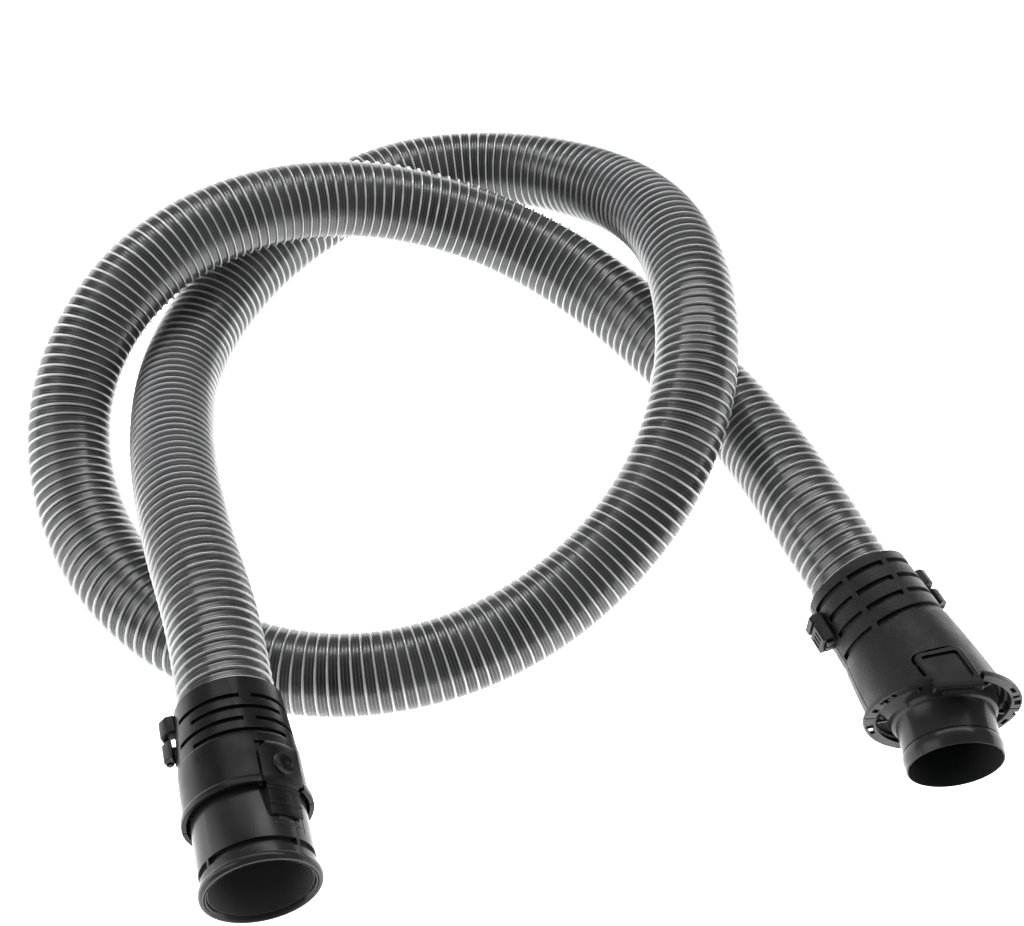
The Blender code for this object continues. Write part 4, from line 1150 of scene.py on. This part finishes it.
    def build_button(self, dresser: Dresser) -> None:
        """Build the press button: crowned plate with a finger ring, catch tongue and hook.

        Args:
            dresser: Gives the piece its finish.
        """
        low, high = self.button_low, self.button_high
        first, last = self.button_from, self.button_to
        side = [(low, first), (high - 0.8 * MM, first), (high - 0.25 * MM, first + 0.8 * MM)]
        for step in range(1, 8):
            side.append((high + 0.1 * MM * math.sin(math.pi * step / 8), first + (last - first) * step / 8))
        side += [(high - 0.2 * MM, last - 0.5 * MM), (high - 0.7 * MM, last), (low, last)]
        obj = Form.turned(side, -self.button_turn, 2 * self.button_turn, 28).piece("handle_press_button")
        corner = mm((-14.0, 44.0), (-14.0, 30.0), (0.0, 30.0))
        change(obj, Form.prism(corner, 1, 20.0 * MM, 40.0 * MM), Cut.TAKE)
        finger = Matrix.Translation((0.0, high - 0.2 * MM, self.ring_t))
        finger = finger @ Matrix.Rotation(-math.pi / 2, 4, "X")
        ring_form = Form.turned(FINGER_RING_OUTLINE, steps=64).carry(finger)
        dish = Form.ball(10.0 * MM, (0.0, high + 9.1 * MM, self.ring_t))
        change(obj, ring_form, Cut.JOIN)
        change(obj, dish, Cut.TAKE)
        under = 24.9 * MM
        top = 25.8 * MM
        tongue = [*mm((25.5, 57.0), (25.5, 50.0), (26.9, 50.0), (26.9, 55.0)), (top, 56.4 * MM)]
        for t in (57.4, 64.3):
            tongue += [(top, t * MM), (top + 0.45 * MM, (t + 0.2) * MM), (top + 0.45 * MM, (t + 0.9) * MM),
                       (top, (t + 1.1) * MM)]
        tongue += [(top, 69.5 * MM), (top - 0.4 * MM, 70.1 * MM), (under, 70.1 * MM), (under, 57.6 * MM)]
        strip = Form.turned(tongue, -18.0, 36.0, 24)
        boss = Form.block(*mm((-6.3, 22.8, 43.45), (6.3, 26.9, 47.65)))
        hook_outline = mm((20.8, 67.1), (25.3, 67.1), (25.3, 69.8), (21.6, 69.8))
        hook = Form.prism(hook_outline, 0, -3.4 * MM, 3.4 * MM)
        for helper in (strip, boss, hook):
            change(obj, helper, Cut.JOIN)
        change(obj, self.pin_hole(), Cut.TAKE)
        settle(obj, self.seat.matrix() @ self.spoke())
        dresser.hand_in(obj, Body.BUTTON, Slot.SATIN, "handle_button")


MACHINE_TOP_SLOTS = ((-30, 13), (19, 78))
MACHINE_UNDER_SLOTS = ((102, 167), (173, 256))
MACHINE_ROWS = (
    ((-88, -36), *MACHINE_TOP_SLOTS, *MACHINE_UNDER_SLOTS),
    ((-74, -36), *MACHINE_TOP_SLOTS, *MACHINE_UNDER_SLOTS),
    ((-74, -36), *MACHINE_TOP_SLOTS, *MACHINE_UNDER_SLOTS),
    ((-88, -36), (-30, 78), *MACHINE_UNDER_SLOTS))
# Openings of the flange: phi in degrees, then radius, width round the rim and depth in millimetres.
FLANGE_OPENINGS = (
    (-52.0, 33.6, 2.2, 3.0), (-62.0, 34.0, 6.5, 1.8), (-62.0, 33.2, 2.4, 3.6), (-78.0, 33.4, 3.2, 3.2),
    (-104.0, 34.0, 2.6, 3.6), (-112.0, 33.8, 6.0, 2.2), (58.0, 33.8, 5.0, 2.0), (70.0, 33.6, 2.4, 3.2),
    (80.0, 34.0, 4.4, 3.0), (98.0, 36.0, 2.8, 3.6), (112.0, 33.8, 5.0, 2.2))
SPIGOT_OUTLINE = mm(
    (20.8, 32.7), (23.3, 32.7), *((23.3, t) for t in (39.0, 46.0, 53.0, 60.0, 67.0)),
    (23.3, 71.7), (28.3, 71.7), (28.3, 72.8), (27.4, 73.8), (26.3, 75.1), (25.5, 76.6), (25.0, 78.2),
    (24.8, 79.5), (24.6, 80.2), (23.2, 80.8), (22.7, 83.5), (22.4, 88.0), (22.35, 94.7), (21.9, 95.0),
    (21.9, 95.5), (22.7, 95.9), (22.95, 97.2), (22.95, 99.6), (22.6, 100.9), (22.5, 102.6),
    (22.3, 103.3), (22.0, 103.5), (21.7, 103.3), (21.5, 102.6), (20.7, 98.5),
    *((19.9, t) for t in (94.0, 86.0, 77.0, 68.0, 60.0, 52.0, 46.0, 39.0)), (20.8, 39.0))
CLIP_OUTLINE = mm(
    (-27.5, 6.2), (-32.8, 6.2), (-33.3, 5.7), (-33.3, -5.7), (-32.8, -6.2), (-27.5, -6.2), (-27.5, -4.6),
    (-31.6, -4.6), (-31.6, 4.6), (-27.5, 4.6))


@dataclass
class MachineConnector:
    """The connector with the flange: casing, spigot, latch and closing clip, bent before its flange."""

    seat: Seat = MACHINE_SEAT
    cuff: Cuff = field(default_factory=lambda: Cuff(
        26.2 * MM, 27.2 * MM, MACHINE_ROWS, rim=4.9 * MM, pitch=9.167 * MM, end=37.0 * MM,
        depth=2.0 * MM, width=2.6 * MM))
    bend: float = 20.0
    bend_from: float = 39.0 * MM
    flange_face: float = 77.0 * MM
    flange_back: float = 74.5 * MM
    flange_radius: float = 36.4 * MM
    flange_hole: float = 31.2 * MM
    cone_from: float = 37.0 * MM
    cone_radius: Pair = (27.6 * MM, 32.2 * MM)
    wall: float = 2.0 * MM
    latch_half: float = 11.3 * MM
    latch_from: float = 59.2 * MM
    latch_proud: float = 0.6 * MM
    window_half: float = 12.2 * MM
    window_from: float = 58.2 * MM

    def bent(self, point: Vector) -> Vector:
        """Carry a point of the straight connector to the bent one.

        Args:
            point: The point before the bend.

        Returns:
            The point after it.
        """
        share = (point.z - self.bend_from) / (self.flange_face - self.bend_from)
        angle = math.radians(self.bend) * min(max(share, 0.0), 1.0)
        beyond = max(point.z - self.flange_face, 0.0)
        side = Vector((math.cos(angle), 0.0, math.sin(angle)))
        ahead = Vector((-math.sin(angle), 0.0, math.cos(angle)))
        return Vector((0.0, point.y, point.z - beyond)) + side * point.x + ahead * beyond

    def cone(self, t: float) -> float:
        """Give the cover's outer radius at t."""
        low, high = self.cone_radius
        return low + (high - low) * (t - self.cone_from) / (self.flange_back - self.cone_from)

    def place(self, obj: bpy.types.Object) -> bpy.types.Object:
        """Bend a straight piece and carry it to the connector's place."""
        return settle(obj, self.seat.matrix(), self.bent)

    def build(self, dresser: Dresser) -> None:
        """Build every piece of the connector.

        Args:
            dresser: Gives the pieces their finish.
        """
        self.build_casing(dresser)
        self.build_spigot(dresser)
        self.build_clip(dresser)
        self.build_latch(dresser)
        dresser.dress(Slot.SATIN, "machine_hinge_pin")
        dresser.dress(Slot.STEEL, "machine_latch_pin", "machine_latch_spring")

    def pin_hole(self, half: float) -> Form:
        """Make the hole for the latch's pin, from half a length on one side to the other."""
        return Form.bar(1.3 * MM, (-half, 25.81 * MM, 64 * MM), (half, 25.81 * MM, 64 * MM))

    def casing_outline(self) -> list[Pair]:
        """Give the wall's outline: cuff, cone, flange ring, and back along the inside."""
        outline = self.cuff.outline()
        outline += [(27.15 * MM, 36.6 * MM), (self.cone(37.5 * MM), 37.5 * MM)]
        outline += [(self.cone(t * MM), t * MM) for t in range(41, 73, 4)]
        outline += [(self.cone(73.8 * MM), 73.8 * MM), (self.cone(74.5 * MM) + 0.5 * MM, self.flange_back)]
        outline += [(self.flange_radius, self.flange_back)]
        outline += [(self.flange_radius, self.flange_face), (self.flange_hole, self.flange_face)]
        outline += [(self.flange_hole, self.flange_back - 0.4 * MM)]
        outline += [(self.cone(t * MM) - self.wall, t * MM) for t in (73.6, 71.4)]
        inner = 23.7 * MM
        outline += [(inner, 71.4 * MM), (inner, 69.4 * MM)]
        back = (69.4, 64.0, 58.0, 52.0, 46.0, 41.0, 37.0)
        outline += [(self.cone(t * MM) - self.wall, t * MM) for t in back]
        outline += [(inner, 37.0 * MM)]
        return outline + swivel_bore(inner)

    def build_casing(self, dresser: Dresser) -> None:
        """Build the two half shells with the latch's window and the flange's openings.

        Args:
            dresser: Gives the pieces their finish.
        """
        upper, lower = halves(self.casing_outline(), lambda form: self.cuff.cut(form).soften(0.35 * MM))
        shells = (upper.piece("machine_casing_upper"), lower.piece("machine_casing_lower"))
        ears = Knuckles(1, 29.87 * MM, 23.2 * MM, (7.0 * MM, 19.0 * MM), 3.3 * MM)
        for index, shell in enumerate(shells):
            ears.add(shell, index)
        for sign, shell in ((1, shells[0]), (-1, shells[1])):
            low, high = sorted((sign * 0.3 * MM, sign * 4.3 * MM))
            block = Form.block((-31.3 * MM, low, 7.5 * MM), (-23.3 * MM, high, 24.5 * MM)).soften(0.5 * MM)
            change(shell, block, Cut.JOIN)
        helpers = []
        for phi, *sizes in FLANGE_OPENINGS:
            radius, wide, deep = (size * MM for size in sizes)
            low, high = (-wide / 2, radius - deep / 2, 74.0 * MM), (wide / 2, radius + deep / 2, 80.0 * MM)
            helpers.append((phi, Form.block(low, high), Cut.TAKE))
        for phi in (-34.0, 34.0, -100.0, 100.0, -150.0, 150.0):
            helpers.append((phi, Form.block(*mm((-0.6, 25.8, 75.0), (0.6, 30.4, 76.6))), Cut.JOIN))
        for phi, helper, kind in helpers:
            helper.carry(Matrix.Rotation(-math.radians(phi), 4, "Z"))
            change(shells[0] if abs(phi) < 90.0 else shells[1], helper, kind)
        window = Form.prism(
            rounded((-self.window_half, self.window_from), (self.window_half, 95.0 * MM), 4.0 * MM),
            1, 25.3 * MM, 50.0 * MM)
        change(shells[0], window, Cut.TAKE)
        change(shells[0], self.pin_hole(13.9 * MM), Cut.TAKE)
        for shell, node in zip(shells, ("machine_upper_shell", "machine_lower_shell")):
            dresser.hand_in(self.place(shell), Body.MACHINE, Slot.GRAIN, node)

    def build_spigot(self, dresser: Dresser) -> None:
        """Build the gloss spigot with its flared root, its line and its mouth.

        Args:
            dresser: Gives the piece its finish.
        """
        form = Form.turned(SPIGOT_OUTLINE, steps=144)
        obj = form.piece("machine_spigot_tube", 45.0)
        pocket = Form.block(*mm((-7.5, 23.8, 74.2), (7.5, 40.0, 79.4))).soften(0.4 * MM)
        change(obj, pocket, Cut.TAKE)
        dresser.hand_in(self.place(obj), Body.MACHINE, Slot.GLOSS, "machine_spigot")

    def build_clip(self, dresser: Dresser) -> None:
        """Build the clip over the two blocks, with its ribs.

        Args:
            dresser: Gives the piece its finish.
        """
        form = Form.prism(CLIP_OUTLINE, 2, 9.1 * MM, 23.2 * MM)
        obj = form.soften(0.3 * MM).piece("machine_closing_clip")
        change(obj, Form.block(*mm((-40, -10, 12.4), (-32.0, 10, 14.2))), Cut.TAKE)
        for y in (-3.2, 0.0, 3.2):
            pit = Form.block(*mm((-40, y - 0.8, 16.4), (-32.6, y + 0.8, 21.6)))
            change(obj, pit, Cut.TAKE)
        dresser.hand_in(self.place(obj), Body.MACHINE, Slot.SATIN, "machine_clip")

    def build_latch(self, dresser: Dresser) -> None:
        """Build the latch lever: rounded frame, sunk panel, front bar and nose.

        Args:
            dresser: Gives the piece its finish.
        """
        half, begin = self.latch_half, self.latch_from
        front = 81.0 * MM
        frame = Form.prism(rounded((-half, begin), (half, front), 3.4 * MM), 1, -2.6 * MM, 0.0)
        frame.soften(0.7 * MM, 3, 60.0)
        obj = frame.piece("machine_latch_lever")
        panel = Form.prism(
            rounded((-8.6 * MM, begin + 2.2 * MM), (8.6 * MM, 76.2 * MM), 1.6 * MM), 1, -1.4 * MM, 4.0 * MM)
        change(obj, panel.soften(0.4 * MM), Cut.TAKE)
        slope = (self.cone_radius[1] - self.cone_radius[0]) / (self.flange_back - self.cone_from)
        lift = self.cone(self.flange_back) + self.latch_proud
        for vert in obj.data.vertices:
            vert.co.y += lift + slope * min(vert.co.z - self.flange_back, 0.0)
        bar = Form.block((-half, 28.6 * MM, 78.0 * MM), (half, lift + 0.5 * MM, 81.6 * MM))
        bar.soften(0.6 * MM, 3)
        nose_outline = [(lift - 2.6 * MM, 76.0 * MM), (lift - 0.3 * MM, 76.0 * MM),
                        (lift - 0.3 * MM, 81.8 * MM), (lift - 1.5 * MM, 83.0 * MM),
                        *mm((27.4, 81.8), (27.4, 80.0)), (lift - 2.6 * MM, 80.0 * MM)]
        nose = Form.prism(nose_outline, 0, -7.0 * MM, 7.0 * MM).soften(0.3 * MM)
        boss = Form.block(*mm((-10.8, 24.1, 62.4), (10.8, 29.6, 65.6)))
        for helper in (bar, nose, boss):
            change(obj, helper, Cut.JOIN)
        change(obj, self.pin_hole(13 * MM), Cut.TAKE)
        dresser.hand_in(self.place(obj), Body.LATCH, Slot.SATIN, "machine_latch")


@dataclass
class Studio:
    """Camera, pale floor and soft light."""

    camera_place: Triple = (-0.0412, -0.3780, 0.777)
    camera_tilt: float = 36.0
    lens: float = 63.28
    floor_half: float = 6.0
    floor_glow: float = 2.3
    sky_glow: float = 0.2

    def build_camera(self) -> None:
        """Put the camera where the photograph was taken from."""
        data = bpy.data.cameras.new("camera")
        data.lens = self.lens
        data.sensor_width = 36.0
        data.sensor_fit = "HORIZONTAL"
        camera = bpy.data.objects.new("camera", data)
        camera.location = self.camera_place
        camera.rotation_euler = (math.radians(self.camera_tilt), 0.0, 0.0)
        bpy.context.scene.collection.objects.link(camera)
        bpy.context.scene.camera = camera

    def build_floor(self) -> None:
        """Lay a white floor that glows a little, as a light table does."""
        form = Form()
        bmesh.ops.create_grid(form.mesh, x_segments=8, y_segments=8, size=self.floor_half)
        floor = form.piece("pale_floor")
        board = NodeBoard("floor_white")
        board.shader.inputs["Base Color"].default_value = (0.8, 0.8, 0.8, 1.0)
        board.shader.inputs["Roughness"].default_value = 0.9
        board.shader.inputs["Emission Color"].default_value = (1.0, 1.0, 1.0, 1.0)
        board.shader.inputs["Emission Strength"].default_value = self.floor_glow
        floor.data.materials.append(board.material)

    def add_softbox(self, name: str, place: Triple, target: Triple, size: Pair, power: float) -> None:
        """Hang a soft light.

        Args:
            name: The light's name.
            place: Where it hangs.
            target: Where it points.
            size: Its width and height.
            power: Its power in watts.
        """
        data = bpy.data.lights.new(name, "AREA")
        data.shape = "RECTANGLE"
        data.size, data.size_y = size
        data.energy = power
        light = bpy.data.objects.new(name, data)
        light.location = place
        light.rotation_euler = (Vector(target) - Vector(place)).to_track_quat("-Z", "Y").to_euler()
        bpy.context.scene.collection.objects.link(light)

    def build_light(self) -> None:
        """Light the table from above and behind, softly."""
        world = bpy.data.worlds.new("studio")
        world.use_nodes = True
        sky = world.node_tree.nodes["Background"]
        sky.inputs["Color"].default_value = (1.0, 1.0, 1.0, 1.0)
        sky.inputs["Strength"].default_value = self.sky_glow
        bpy.context.scene.world = world
        self.add_softbox("top_light", (0.0, 1.1, 1.3), (-0.05, 0.15, 0.0), (2.4, 0.4), 17.0)
        self.add_softbox("left_light", (-1.3, 0.1, 0.6), (-0.05, 0.1, 0.0), (0.5, 1.6), 8.0)
        self.add_softbox("right_light", (1.3, 0.1, 0.6), (0.05, 0.1, 0.0), (0.5, 1.6), 1.5)
        bpy.context.scene.view_settings.view_transform = "Standard"


def main() -> None:
    """Build the scene: camera and hose first, then the connectors, floor and light."""
    logging.basicConfig(level=logging.INFO, format="%(message)s")
    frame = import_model()
    studio = Studio()
    studio.build_camera()
    dresser = Dresser(frame)
    Hose().build(dresser)
    Swivel("handle", HANDLE_SEAT, Body.HANDLE).build(dresser)
    Swivel("machine", MACHINE_SEAT, Body.MACHINE).build(dresser)
    HandleConnector().build(dresser)
    MachineConnector().build(dresser)
    studio.build_floor()
    studio.build_light()


if __name__ == "__main__":
    main()
